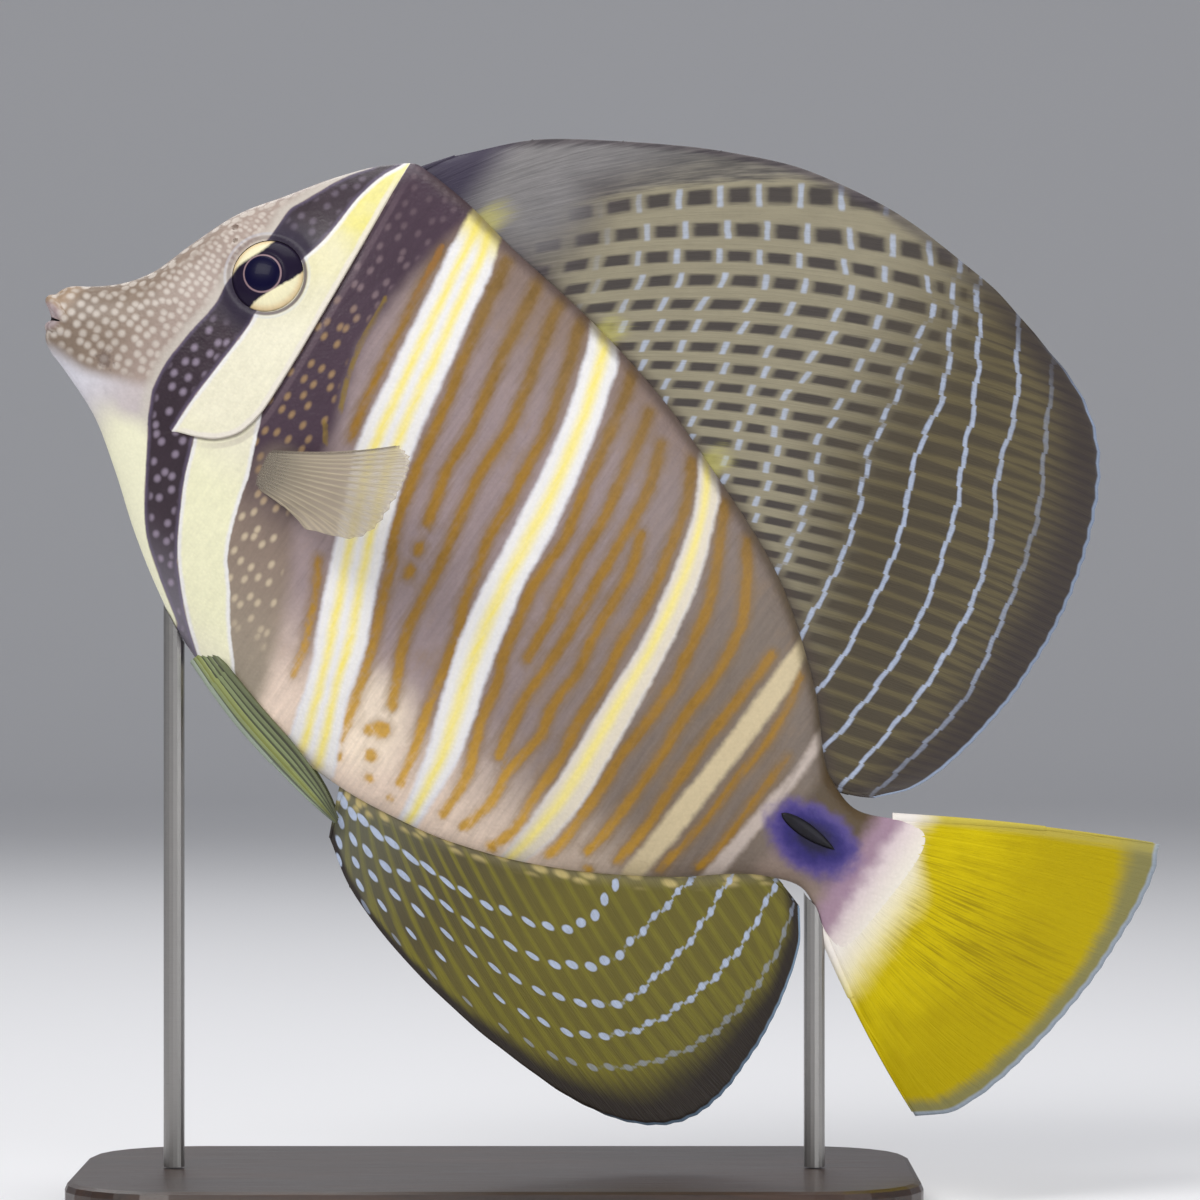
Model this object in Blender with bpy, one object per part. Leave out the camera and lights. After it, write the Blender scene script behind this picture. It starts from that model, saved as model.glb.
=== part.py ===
"""Life-size sailfin tang, nose up as it swims, held over a flat base by two rods.

The fish is drawn in its own frame, in millimetres: u runs back from the snout along the body's axis,
y across the body and w up. One empty carries that frame, pitches it nose up and lifts it over the base.
"""

import math

import bmesh
import bpy
import numpy as np
from mathutils import Matrix, Vector

MM = 0.001
GAP = 0.3  # between pieces that touch

# Pose of the fish's frame over the base
PITCH = math.radians(34.5)
SNOUT_X = -111.3
SNOUT_Z = 180.0

# Side outline of the body: distance behind the snout, height over the axis
BACK_LINE = [
    (0.0, 1.8), (0.5, 4.3), (1.6, 6.2), (5, 8.6), (10, 12.8), (14, 18.5), (17, 27), (21, 36.8), (27, 45.6),
    (34, 55.4), (40, 62), (46, 65.9), (56, 65.3), (70, 62.8), (90, 60), (110, 55.5), (130, 48.3),
    (150, 39.5), (170, 24.5), (183, 11.4), (190, 9.2), (199, 12.4),
]
BELLY_LINE = [
    (0.0, 1.8), (0.8, 0.4), (2.5, -1.5), (3.1, -4.2), (5, -6.1), (10, -7.9), (20, -12), (30, -18.8),
    (40, -26.6), (50, -33.3), (60, -38.8), (70, -42.3), (84, -45), (102, -45.5), (120, -43.6),
    (135, -39.6), (150, -33.2), (167, -23.2), (183, -12), (190, -9.8), (199, -14.2),
]
# Half of the body's width, and how blunt the lens of its section is
HALF_WIDTH = [
    (0, 0.0), (0.8, 1.7), (2.5, 2.7), (5, 3.6), (10, 5.1), (20, 8.0), (30, 10.8), (40, 13.2), (50, 14.9),
    (62, 15.8), (78, 15.8), (100, 14.7), (125, 12.1), (150, 8.8), (170, 6.3), (184, 4.9), (192, 3.8),
    (199, 2.3),
]
SECTION_POWER = [(0, 0.5), (20, 0.54), (50, 0.62), (150, 0.62), (180, 0.52), (199, 0.5)]
KEEL_HALF_WIDTH = [(0, 0.0), (3, 0.3), (20, 0.7), (44, 1.1), (199, 1.1)]
BODY_END = 199.0

# Where the thin cuts part the body: behind the gill cover, and ahead of the tail spine
GILL_CUT = [
    (42.6, 78), (44.2, 62), (46, 46), (47.4, 30), (48.3, 17), (48.6, 8.5), (47.6, 2.8), (44.2, -1.8),
    (40.2, -4.0), (36, -5.6), (31, -12), (26, -28),
]
TAIL_CUT = 177.5

# Gill cover: how far its edge stands proud of the flank behind it, and where it fades into the cheek
GILL_RISE = 0.95
GILL_REACH = 6.5
GILL_TOP_FADE = (56.0, 42.0)
GILL_THROAT_FADE = (28.0, 36.0)

# Eye
EYE_U, EYE_W = 34.0, 30.4
EYE_RADIUS = 7.8
EYE_DEPTH = 4.4
EYE_PROUD = 2.6
ORBIT_RIM_PLACE = 7.9
ORBIT_RIM = 0.7

# Nostrils, as a pair of pits ahead of the eye
NOSTRILS = [(22.6, 34.8, 0.75), (24.4, 32.6, 0.6)]

# Lips: a bead round each jaw. Front of the bead, its ends, its thickness
UPPER_LIP = {"front": (0.35, 1.9), "end": (5.2, 0.4), "end_y": 3.1, "radius": 1.35}
LOWER_LIP = {"front": (3.1, -2.5), "end": (6.0, -1.7), "end_y": 3.0, "radius": 1.2}
MOUTH_SLIT = {"front": (-3.0, 0.1), "end": (5.4, -0.75), "front_gap": 0.9, "end_gap": 0.35}

# Dorsal fin: its rays and rows of facets, its sway to the side, and which ray is rooted how far back.
# Then, by the place of a ray's root, its tip, and the angle at which it leaves the back
DORSAL = {
    "rays": 34,
    "rows": 7,
    "sway": 1.8,
    "roots": [
        (0, 46.0), (4, 62.5), (8, 84.7), (12, 104.5), (16, 122.4), (20, 139.3), (24, 154.7), (28, 168.5), (33, 183),
    ],
    "tips": [
        (46, 50.3, 71.6), (50, 61.5, 83.2), (54, 77, 93.4), (58, 94, 102.7), (62, 111, 109.3), (66.5, 131, 112.2),
        (71.5, 150, 111.2), (80, 167.5, 107.4), (88, 179.5, 103.6), (96, 187.5, 98.4), (105, 193.3, 91.2),
        (115, 197.5, 82.6), (125, 200.4, 74.5), (135, 202.4, 66), (145, 203.5, 57), (155, 203.7, 47.5),
        (165, 202.7, 37.5), (173, 200.8, 28), (179, 197.6, 19.6), (183, 192.4, 13.6),
    ],
    "angles": [
        (46, 60), (54, 57), (62, 52), (71.5, 47), (80, 45), (88, 41), (105, 34), (125, 28), (145, 23.5),
        (165, 17), (175, 12), (183, 6),
    ],
}

# Anal fin, in the same way. Its rays leave the belly at angles below the axis
ANAL = {
    "rays": 27,
    "rows": 5,
    "sway": 1.2,
    "roots": [(0, 103.0), (3, 108), (8, 121.5), (14, 143.5), (20, 164.5), (24, 176.5), (26, 182.5)],
    "tips": [
        (103, 107, -55.2), (104.5, 115.5, -60.8), (106, 127, -65.1), (108, 141, -68.3), (111, 157, -70.3),
        (115, 171.5, -70.8), (121, 183, -69.6), (128, 191.5, -66.6), (136, 197.3, -61.8), (144, 200.1, -56),
        (152, 201.2, -49), (160, 201.2, -42), (168, 200.4, -34), (175, 198.8, -26.5), (179.5, 196.4, -19.4),
        (182.5, 192.3, -13.4),
    ],
    "angles": [
        (103, -72), (106, -58), (110, -44), (116, -34), (130, -29), (150, -28), (165, -24), (176, -16), (182.5, -8),
    ],
}

# Tail fin, by its rays from the top one down: root height, tip, and angle
TAIL_RAYS = 18
TAIL_ROWS = 6
TAIL_SWAY = 1.6
TAIL_ROOT_HEIGHTS = [(0, 12.2), (17, -14.0)]
TAIL_TIPS = [
    (0, 244.6, 37.9), (1.5, 247.2, 32), (4, 248.6, 22), (7, 248.9, 11), (10, 248, -1), (12.5, 246.3, -12),
    (15, 243.8, -22.5), (16.2, 240.4, -30), (17, 235, -34.6),
]
TAIL_ANGLES = [(0, 33), (4, 21), (8, 4), (13, -18), (17, -35)]

# Pectoral fin: a fan that stands off the flank. Its own a runs out along it, b across it
PECTORAL_RAYS = 15
PECTORAL_ROWS = 5
PECTORAL_ROOT = (55.2, -1.6)
PECTORAL_RISE = math.radians(16)
PECTORAL_SPREAD = math.radians(48)
PECTORAL_ROOT_SPAN = 6.4
PECTORAL_SUNK = 2.6
PECTORAL_TIPS = [(0, 33, 12.6), (2.5, 38.5, 10.8), (6, 41, 5), (9, 39, -2), (12, 30, -7.6), (14, 16, -8.6)]
PECTORAL_CAMBER = 2.2

# Pelvic fin: a narrow blade folded back along the belly. Upper and lower edge, and its lean
PELVIC_RAYS = 6
PELVIC_ROWS = 8
PELVIC_UPPER_EDGE = [(66, -37.2), (80, -41.2), (92, -44.3), (100, -47.3), (106.3, -50.9)]
PELVIC_LOWER_EDGE = [(64.5, -41.2), (80, -46.7), (92, -49.6), (100, -51.1), (106.6, -51.9)]
PELVIC_TOP_Y = 6.7
PELVIC_LEAN = 0.28
PELVIC_ROOT_IN = 2.9
PELVIC_ROOT_END = 71.0

# Half thickness of the fins: the membrane at root and edge, and how far a ray stands over it
SAIL_MEMBRANE = (0.85, 0.27)
SAIL_RAY = (0.25, 0.17)
TAIL_MEMBRANE = (1.3, 0.27)
PECTORAL_MEMBRANE = (0.95, 0.26)
PELVIC_MEMBRANE = (0.7, 0.26)
SMALL_RAY = (0.25, 0.12)
RAY_FOOT = 0.2  # half width of a ray, as a share of the space between two rays

# Folded tail spine in its groove, tip forward
SPINE_U, SPINE_W = 184.8, 0.2
SPINE_LENGTH = 13.0
SPINE_HEIGHT = 3.0
SPINE_THICKNESS = 1.5
SPINE_PROUD = 0.75

# Stand
BASE_LENGTH, BASE_WIDTH, BASE_HEIGHT = 168.0, 92.0, 8.0
BASE_X = -21.0
BASE_CORNER = 22.0
BASE_BEVEL = 1.6
ROD_RADIUS = 2.1
FRONT_ROD_U = 57.0
REAR_ROD_U = 194.6
ROD_SUNK = 5.0

COLOURS = {
    "head": (0.60, 0.53, 0.47), "torso": (0.47, 0.41, 0.38), "tail_stalk": (0.42, 0.37, 0.50),
    "dorsal_fin": (0.30, 0.27, 0.18), "anal_fin": (0.28, 0.25, 0.12), "tail_fin": (0.80, 0.70, 0.06),
    "pectoral_fin": (0.62, 0.60, 0.52), "pelvic_fin": (0.40, 0.44, 0.28), "eye": (0.02, 0.02, 0.03),
    "tail_spine": (0.03, 0.02, 0.06), "stand_base": (0.10, 0.07, 0.05), "stand_rod": (0.55, 0.53, 0.50),
}


def smooth_curve(points, column=1):
    """A curve through the points that never overshoots between them, as a function of the first number."""
    x = np.array([p[0] for p in points], float)
    y = np.array([p[column] for p in points], float)
    step = np.diff(x)
    slope = np.diff(y) / step
    tangent = np.zeros_like(y)
    before, after = slope[:-1], slope[1:]
    same_way = before * after > 0
    near = 2 * step[1:] + step[:-1]
    far = step[1:] + 2 * step[:-1]
    shared = np.where(same_way, near / np.where(same_way, before, 1) + far / np.where(same_way, after, 1), 1)
    tangent[1:-1] = np.where(same_way, (near + far) / shared, 0.0)
    tangent[0], tangent[-1] = slope[0], slope[-1]

    def value(at):
        at = np.clip(np.asarray(at, float), x[0], x[-1])
        i = np.clip(np.searchsorted(x, at, side="right") - 1, 0, len(x) - 2)
        s = (at - x[i]) / step[i]
        return (
            (1 + 2 * s) * (1 - s) ** 2 * y[i] + s * (1 - s) ** 2 * step[i] * tangent[i]
            + s * s * (3 - 2 * s) * y[i + 1] + s * s * (s - 1) * step[i] * tangent[i + 1]
        )

    return value


back = smooth_curve(BACK_LINE)
belly = smooth_curve(BELLY_LINE)
half_width = smooth_curve(HALF_WIDTH)
section_power = smooth_curve(SECTION_POWER)
keel = smooth_curve(KEEL_HALF_WIDTH)


def flank(u, w):
    """Half of the body's width at that place of its side view."""
    middle = (back(u) + belly(u)) / 2
    half = np.maximum((back(u) - belly(u)) / 2, 1e-6)
    v = np.clip((w - middle) / half, -1, 1)
    return keel(u) + (half_width(u) - keel(u)) * (1 - v * v) ** section_power(u)


def ease(start, end, at):
    """Rises evenly from 0 at start to 1 at end, with soft ends."""
    t = min(max((at - start) / (end - start), 0.0), 1.0)
    return t * t * (3 - 2 * t)


def distance_to_line(line, point):
    line, point = np.array(line, float), np.array(point, float)
    start, run = line[:-1], np.diff(line, axis=0)
    share = np.clip(((point - start) * run).sum(1) / (run * run).sum(1), 0, 1)
    return float(np.min(np.linalg.norm(start + share[:, None] * run - point, axis=1)))


def gill_rise(u, w):
    """How far the gill cover lifts the cheek there: most along its free edge."""
    near = math.exp(-((distance_to_line(GILL_CUT, (u, w)) / GILL_REACH) ** 2))
    return GILL_RISE * near * ease(*GILL_TOP_FADE, w) * ease(*GILL_THROAT_FADE, u)


def new_object(name, points, faces, parent=None):
    """An object from points in millimetres and faces by index."""
    mesh = bpy.data.meshes.new(name)
    mesh.from_pydata([Vector(p) * MM for p in points], [], faces)
    mesh.update()
    obj = bpy.data.objects.new(name, mesh)
    bpy.context.scene.collection.objects.link(obj)
    obj.parent = parent
    return obj


def evaluated_mesh(obj):
    bpy.context.view_layer.update()
    return bpy.data.meshes.new_from_object(obj.evaluated_get(bpy.context.evaluated_depsgraph_get()))


def boolean(obj, others, operation):
    """Applies one Boolean of obj with a collection of closed meshes, then removes them."""
    if not others:
        return obj
    tools = bpy.data.collections.new(obj.name + "_tools")
    bpy.context.scene.collection.children.link(tools)
    for other in others:
        for collection in list(other.users_collection):
            collection.objects.unlink(other)
        tools.objects.link(other)
    modifier = obj.modifiers.new("join", "BOOLEAN")
    modifier.operation = operation
    modifier.operand_type = "COLLECTION"
    modifier.collection = tools
    modifier.solver = "EXACT"
    result = evaluated_mesh(obj)
    obj.modifiers.clear()
    obj.data = result
    for other in others:
        bpy.data.objects.remove(other)
    bpy.data.collections.remove(tools)
    return obj


def islands(mesh):
    """The mesh's separate surfaces, largest first, each as a bmesh."""
    whole = bmesh.new()
    whole.from_mesh(mesh)
    unseen = set(whole.verts)
    groups = []
    while unseen:
        seed = unseen.pop()
        group, edge = {seed}, [seed]
        while edge:
            for e in edge.pop().link_edges:
                for v in e.verts:
                    if v in unseen:
                        unseen.remove(v)
                        group.add(v)
                        edge.append(v)
        groups.append({v.index for v in group})
    whole.free()
    found = []
    for group in groups:
        piece = bmesh.new()
        piece.from_mesh(mesh)
        bmesh.ops.delete(piece, geom=[v for v in piece.verts if v.index not in group], context="VERTS")
        found.append(piece)
    return sorted(found, key=lambda piece: -abs(piece.calc_volume()))


def keep_largest(obj):
    pieces = islands(obj.data)
    pieces[0].to_mesh(obj.data)
    for piece in pieces:
        piece.free()
    return obj


def face_outwards(obj):
    shape = bmesh.new()
    shape.from_mesh(obj.data)
    bmesh.ops.recalc_face_normals(shape, faces=shape.faces)
    if shape.calc_volume() < 0:
        bmesh.ops.reverse_faces(shape, faces=shape.faces)
    shape.to_mesh(obj.data)
    shape.free()
    return obj


def shade_round(obj, crease=40):
    obj.data.shade_smooth()
    obj.data.set_sharp_from_angle(angle=math.radians(crease))
    return obj


def ring_grid(rings, closed_start, closed_end):
    """Points and faces over rings of equal length, closed at each end with a point, or with a face for None."""
    count = len(rings[0])
    points = [p for ring in rings for p in ring]
    faces = []
    for i in range(len(rings) - 1):
        for j in range(count):
            a, b = i * count + j, i * count + (j + 1) % count
            faces.append((a, b, b + count, a + count))
    if closed_start is None:
        faces.append(tuple(reversed(range(count))))
    else:
        points.append(closed_start)
        faces += [((j + 1) % count, j, len(points) - 1) for j in range(count)]
    last = (len(rings) - 1) * count
    if closed_end is None:
        faces.append(tuple(last + j for j in range(count)))
    else:
        points.append(closed_end)
        faces += [(last + j, last + (j + 1) % count, len(points) - 1) for j in range(count)]
    return points, faces


# Body


def body_stations():
    snout = [0.25, 0.8, 1.6, 2.6, 4.0, 6.0, 8.0]
    head = list(np.arange(10, 29, 1.7)) + list(np.arange(30, 50, 2.6))
    trunk = list(np.arange(51.5, 176, 6.0))
    stalk = [176.5, 180, 183.5, 187, 191, 195, BODY_END]
    return snout + head + trunk + stalk


BODY_SIDE_POINTS = 15


def body_rings(stations, swell=0.0, relief=None):
    """Sections of the body, each down the left side and up the right, swollen by that much."""
    rings = []
    for u in stations:
        top, bottom = float(back(u)), float(belly(u))
        middle, half = (top + bottom) / 2, (top - bottom) / 2
        down = []
        for j in range(BODY_SIDE_POINTS + 1):
            v = math.sin(math.pi * (0.5 - j / BODY_SIDE_POINTS))
            y = float(flank(u, middle + half * v)) + swell
            if relief:
                y += relief(u, middle + half * v)
            down.append((y, middle + (half + swell) * v))
        rings.append([(u, -y, w) for y, w in down] + [(u, y, w) for y, w in reversed(down)])
    return rings


def whole_body(name, parent, swell=0.0, relief=None):
    rings = body_rings(body_stations(), swell, relief)
    if swell:
        rings[-1] = [(BODY_END + swell, y, w) for _, y, w in rings[-1]]
    points, faces = ring_grid(rings, (-swell, 0.0, float(back(0))), None)
    return face_outwards(new_object(name, points, faces, parent))


def knife(line, parent, thickness=GAP, reach=40.0):
    """A thin upright slab along a line of the side view, right across the body."""
    line = np.array(line, float)
    along = np.gradient(line, axis=0)
    normal = np.stack([-along[:, 1], along[:, 0]], 1)
    normal /= np.linalg.norm(normal, axis=1)[:, None]
    left, right = line + normal * thickness / 2, line - normal * thickness / 2
    outline = [tuple(p) for p in left] + [tuple(p) for p in right[::-1]]
    count = len(outline)
    points = [(u, -reach, w) for u, w in outline] + [(u, reach, w) for u, w in outline]
    steps = len(line)
    faces = []
    for i in range(steps - 1):
        a, b = i, i + 1
        c, d = count - 2 - i, count - 1 - i
        faces.append((a, b, c, d))
        faces.append((d + count, c + count, b + count, a + count))
    faces += [(j, j + count, (j + 1) % count + count, (j + 1) % count) for j in range(count)]
    return face_outwards(new_object("knife", points, faces, parent))


def ellipsoid(name, centre, radius, depth, axis, parent, segments=20, rings=12):
    """A round body flattened to that depth, on either side, along its axis."""
    shape = bmesh.new()
    bmesh.ops.create_uvsphere(shape, u_segments=segments, v_segments=rings, radius=1.0)
    turned = Vector((0, 0, 1)).rotation_difference(Vector(axis)).to_matrix().to_4x4()
    placed = Matrix.Translation(Vector(centre)) @ turned @ Matrix.Diagonal((radius, radius, depth, 1.0))
    bmesh.ops.transform(shape, matrix=placed, verts=shape.verts)
    mesh = bpy.data.meshes.new(name)
    bmesh.ops.scale(shape, vec=(MM, MM, MM), verts=shape.verts)
    shape.to_mesh(mesh)
    shape.free()
    obj = bpy.data.objects.new(name, mesh)
    bpy.context.scene.collection.objects.link(obj)
    obj.parent = parent
    return face_outwards(obj)


def tube(name, path, radii, parent, sides=8):
    """A closed tube along points, with its own radius at each and a point at either end."""
    path = np.array(path, float)
    along = np.gradient(path, axis=0)
    along /= np.linalg.norm(along, axis=1)[:, None]
    rings = []
    for p, d, r in zip(path, along, radii):
        side = np.cross(d, (0.0, 0.0, 1.0))
        side /= np.linalg.norm(side)
        up = np.cross(side, d)
        rings.append([
            tuple(p + r * (math.cos(a) * side + math.sin(a) * up))
            for a in (2 * math.pi * k / sides for k in range(sides))
        ])
    ends = [tuple(path[0] - along[0] * radii[0] * 0.6), tuple(path[-1] + along[-1] * radii[-1] * 0.6)]
    points, faces = ring_grid(rings, *ends)
    return face_outwards(new_object(name, points, faces, parent))


# Head


def lip(name, size, parent):
    """A bead that runs from one corner of the mouth round the front of the jaw to the other."""
    (front_u, front_w), (end_u, end_w) = size["front"], size["end"]
    path, radii = [], []
    for k in range(11):
        turn = math.pi * (k / 10 - 0.5)
        back_share = 1 - math.cos(turn)
        path.append((
            front_u + (end_u - front_u) * back_share,
            size["end_y"] * math.sin(turn),
            front_w + (end_w - front_w) * back_share,
        ))
        radii.append(size["radius"] * (0.62 + 0.38 * math.cos(turn)))
    return tube(name, path, radii, parent)


def mouth_slit(parent):
    (u0, w0), (u1, w1) = MOUTH_SLIT["front"], MOUTH_SLIT["end"]
    g0, g1 = MOUTH_SLIT["front_gap"] / 2, MOUTH_SLIT["end_gap"] / 2
    reach = 9.0
    side = [(u0, w0 + g0), (u0, w0 - g0), (u1, w1 - g1), (u1, w1 + g1)]
    points = [(u, y, w) for y in (-reach, reach) for u, w in side]
    faces = [(0, 1, 2, 3), (7, 6, 5, 4)] + [(j, j + 4, (j + 1) % 4 + 4, (j + 1) % 4) for j in range(4)]
    return face_outwards(new_object("mouth_slit", points, faces, parent))


def orbit_rim(side, parent):
    """A low ring round the eye socket that follows the cheek."""
    path = []
    steps = 22
    for k in range(steps):
        turn = 2 * math.pi * k / steps
        u = EYE_U + ORBIT_RIM_PLACE * math.cos(turn)
        w = EYE_W + ORBIT_RIM_PLACE * math.sin(turn)
        path.append((u, side * (float(flank(u, w)) - 0.15), w))
    path = np.array(path)
    rings = []
    for k in range(steps):
        out = path[k] - np.array([EYE_U, path[k][1], EYE_W])
        out /= np.linalg.norm(out)
        across = np.array([0.0, side, 0.0])
        rings.append([
            tuple(path[k] + ORBIT_RIM * (math.cos(a) * out + math.sin(a) * across))
            for a in (2 * math.pi * j / 6 for j in range(6))
        ])
    count = 6
    points = [p for ring in rings for p in ring]
    faces = []
    for i in range(steps):
        for j in range(count):
            a, b = i * count + j, i * count + (j + 1) % count
            c, d = (i + 1) % steps * count + (j + 1) % count, (i + 1) % steps * count + j
            faces.append((a, b, c, d))
    return face_outwards(new_object("orbit_rim", points, faces, parent))


def cheek_normal(side, u, w, step=1.5):
    """The way that the cheek faces there."""
    along = (float(flank(u + step, w)) - float(flank(u - step, w))) / (2 * step)
    up = (float(flank(u, w + step)) - float(flank(u, w - step))) / (2 * step)
    return Vector((-along, side, -up)).normalized()


def eyeball(name, side, swell, parent):
    """The eye, turned the way that the cheek faces and a little proud of it, swollen by that much."""
    outward = cheek_normal(side, EYE_U, EYE_W)
    on_cheek = Vector((EYE_U, side * float(flank(EYE_U, EYE_W)), EYE_W))
    centre = on_cheek + outward * (EYE_PROUD - EYE_DEPTH)
    return ellipsoid(name, centre, EYE_RADIUS + swell, EYE_DEPTH + swell, outward, parent, 22, 12)


def nostril(side, place, parent):
    u, w, radius = place
    on_cheek = (u, side * (float(flank(u, w)) + 0.1), w)
    return ellipsoid("nostril", on_cheek, radius, radius * 1.3, cheek_normal(side, u, w), parent, 8, 6)


def finish_head(head, parent):
    raised = [lip("upper_lip", UPPER_LIP, parent), lip("lower_lip", LOWER_LIP, parent)]
    raised += [orbit_rim(side, parent) for side in (-1, 1)]
    boolean(head, raised, "UNION")
    cuts = [mouth_slit(parent)]
    for side in (-1, 1):
        cuts.append(eyeball("socket", side, GAP, parent))
        cuts += [nostril(side, place, parent) for place in NOSTRILS]
    boolean(head, cuts, "DIFFERENCE")
    return keep_largest(head)


# Fins


def ray_columns(rays):
    """Places across a fin, in spaces between rays: each ray's crest with a foot on either side."""
    columns = []
    for k in range(rays):
        if k:
            columns.append((k - RAY_FOOT, 0.0))
        columns.append((float(k), 1.0))
        if k < rays - 1:
            columns.append((k + RAY_FOOT, 0.0))
    return columns


def bent_ray(root, tip, angle, share):
    """A point of a ray that leaves its root at that angle and bends evenly to its tip."""
    root, tip = np.array(root, float), np.array(tip, float)
    chord = tip - root
    length = np.linalg.norm(chord)
    lead = np.array([math.cos(angle), math.sin(angle)])
    lean = max(float(lead @ chord) / length, 0.3)
    middle = root + lead * length / 2 / lean
    return (1 - share) ** 2 * root + 2 * share * (1 - share) * middle + share ** 2 * tip


def fin(name, columns, rows, centre_line, half_thickness, place, parent):
    """A closed thin fin. centre_line gives a column's point at a share of its length, and place sets it in space.

    Both faces are split into the same triangles, so that they never cross where the fin bends.
    """
    shares = [(k / rows) ** 0.92 for k in range(rows + 1)]
    left, right = [], []
    for position, crest in columns:
        for share in shares:
            a, b = centre_line(position, share)
            half = half_thickness(share, crest)
            left.append(place(a, b, -half, position, share))
            right.append(place(a, b, half, position, share))
    per = rows + 1
    count = len(left)
    faces = []
    for i in range(len(columns) - 1):
        for k in range(rows):
            a, b, c, d = i * per + k, i * per + k + 1, (i + 1) * per + k + 1, (i + 1) * per + k
            faces += [(a, b, c), (a, c, d)]
            faces += [(c + count, b + count, a + count), (d + count, c + count, a + count)]
    border = [k for k in range(per)]
    border += [i * per + rows for i in range(1, len(columns))]
    border += [(len(columns) - 1) * per + k for k in range(rows - 1, -1, -1)]
    border += [i * per for i in range(len(columns) - 2, 0, -1)]
    for a, b in zip(border, border[1:] + border[:1]):
        faces += [(a, a + count, b + count), (a, b + count, b)]
    return face_outwards(new_object(name, left + right, faces, parent))


def thickness_rule(membrane, ray):
    def half(share, crest):
        fade = share ** 0.8
        return membrane[0] + (membrane[1] - membrane[0]) * fade + crest * (ray[0] + (ray[1] - ray[0]) * share)

    return half


def sail_fin(name, sizes, side, parent):
    """A dorsal or anal fin. side is 1 over the back and -1 under the belly."""
    root_at = smooth_curve(sizes["roots"])
    tip_u, tip_w = smooth_curve(sizes["tips"], 1), smooth_curve(sizes["tips"], 2)
    angle_at = smooth_curve(sizes["angles"])
    edge = back if side > 0 else belly

    def centre_line(position, share):
        u = float(root_at(position))
        root = (u, float(edge(u)) + side * GAP)
        tip = (float(tip_u(u)), float(tip_w(u)))
        between = abs(position - round(position)) / 0.5
        reach = share * (1 - 0.012 * between)
        return bent_ray(root, tip, math.radians(float(angle_at(u))), reach)

    def place(a, b, half, position, share):
        turns = 1.35 * position / (sizes["rays"] - 1) + 0.35 * share
        return (a, half + sizes["sway"] * share ** 1.6 * math.sin(2 * math.pi * turns), b)

    half = thickness_rule(SAIL_MEMBRANE, SAIL_RAY)
    return fin(name, ray_columns(sizes["rays"]), sizes["rows"], centre_line, half, place, parent)


def tail_fin(parent):
    root_w = smooth_curve(TAIL_ROOT_HEIGHTS)
    tip_u, tip_w = smooth_curve(TAIL_TIPS, 1), smooth_curve(TAIL_TIPS, 2)
    angle_at = smooth_curve(TAIL_ANGLES)

    def centre_line(position, share):
        root = (BODY_END + GAP, float(root_w(position)))
        tip = (float(tip_u(position)), float(tip_w(position)))
        between = abs(position - round(position)) / 0.5
        return bent_ray(root, tip, math.radians(float(angle_at(position))), share * (1 - 0.01 * between))

    def place(a, b, half, position, share):
        sway = TAIL_SWAY * share ** 1.5 * math.sin(2 * math.pi * (0.9 * position / (TAIL_RAYS - 1) + 0.1))
        return (a, half + sway, b)

    half = thickness_rule(TAIL_MEMBRANE, SAIL_RAY)
    return fin("tail_fin", ray_columns(TAIL_RAYS), TAIL_ROWS, centre_line, half, place, parent)


def pectoral_fin(side, name, parent):
    tip_a, tip_b = smooth_curve(PECTORAL_TIPS, 1), smooth_curve(PECTORAL_TIPS, 2)
    root_u, root_w = PECTORAL_ROOT
    out, rise = PECTORAL_SPREAD, PECTORAL_RISE
    along = np.array([math.cos(out) * math.cos(rise), math.sin(out), math.cos(out) * math.sin(rise)])
    across = np.array([-math.sin(rise), 0.0, math.cos(rise)])
    normal = np.cross(across, along)
    origin = np.array([root_u, float(flank(root_u, root_w)), root_w]) - along * PECTORAL_SUNK

    def centre_line(position, share):
        b0 = PECTORAL_ROOT_SPAN * (0.5 - position / (PECTORAL_RAYS - 1))
        root = np.array([0.0, b0])
        tip = np.array([float(tip_a(position)) + PECTORAL_SUNK, float(tip_b(position))])
        between = abs(position - round(position)) / 0.5
        lead = math.atan2(tip[1] - root[1], tip[0]) * 0.7
        return bent_ray(root, tip, lead, share * (1 - 0.015 * between))

    def place(a, b, half, position, share):
        camber = PECTORAL_CAMBER * math.sin(math.pi * min(share, 1.0) * 0.9) + 0.02 * b * b * share
        p = origin + along * a + across * b + normal * (half - camber)
        return (p[0], side * p[1], p[2])

    half = thickness_rule(PECTORAL_MEMBRANE, SMALL_RAY)
    columns = []
    for k in range(PECTORAL_RAYS):
        columns.append((float(k), 1.0))
        if k < PECTORAL_RAYS - 1:
            columns.append((k + 0.5, 0.0))
    return fin(name, columns, PECTORAL_ROWS, centre_line, half, place, parent)


def pelvic_fin(side, name, parent):
    upper, lower = np.array(PELVIC_UPPER_EDGE, float), np.array(PELVIC_LOWER_EDGE, float)
    run = np.linspace(0, 1, len(upper))

    def edge_point(line, share):
        return np.array([
            float(smooth_curve(list(zip(run, line[:, 0])))(share)),
            float(smooth_curve(list(zip(run, line[:, 1])))(share)),
        ])

    def centre_line(position, share):
        across = position / (PELVIC_RAYS - 1)
        return edge_point(upper, share) * (1 - across) + edge_point(lower, share) * across

    def place(a, b, half, position, share):
        inward = PELVIC_ROOT_IN * max(0.0, 1 - (a - upper[0][0]) / (PELVIC_ROOT_END - upper[0][0])) ** 1.2
        y = PELVIC_TOP_Y + PELVIC_LEAN * (b - upper[0][1]) - inward
        return (a, side * (y + half), b)

    half = thickness_rule(PELVIC_MEMBRANE, SMALL_RAY)
    return fin(name, ray_columns(PELVIC_RAYS), PELVIC_ROWS, centre_line, half, place, parent)


# Tail spine


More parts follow.
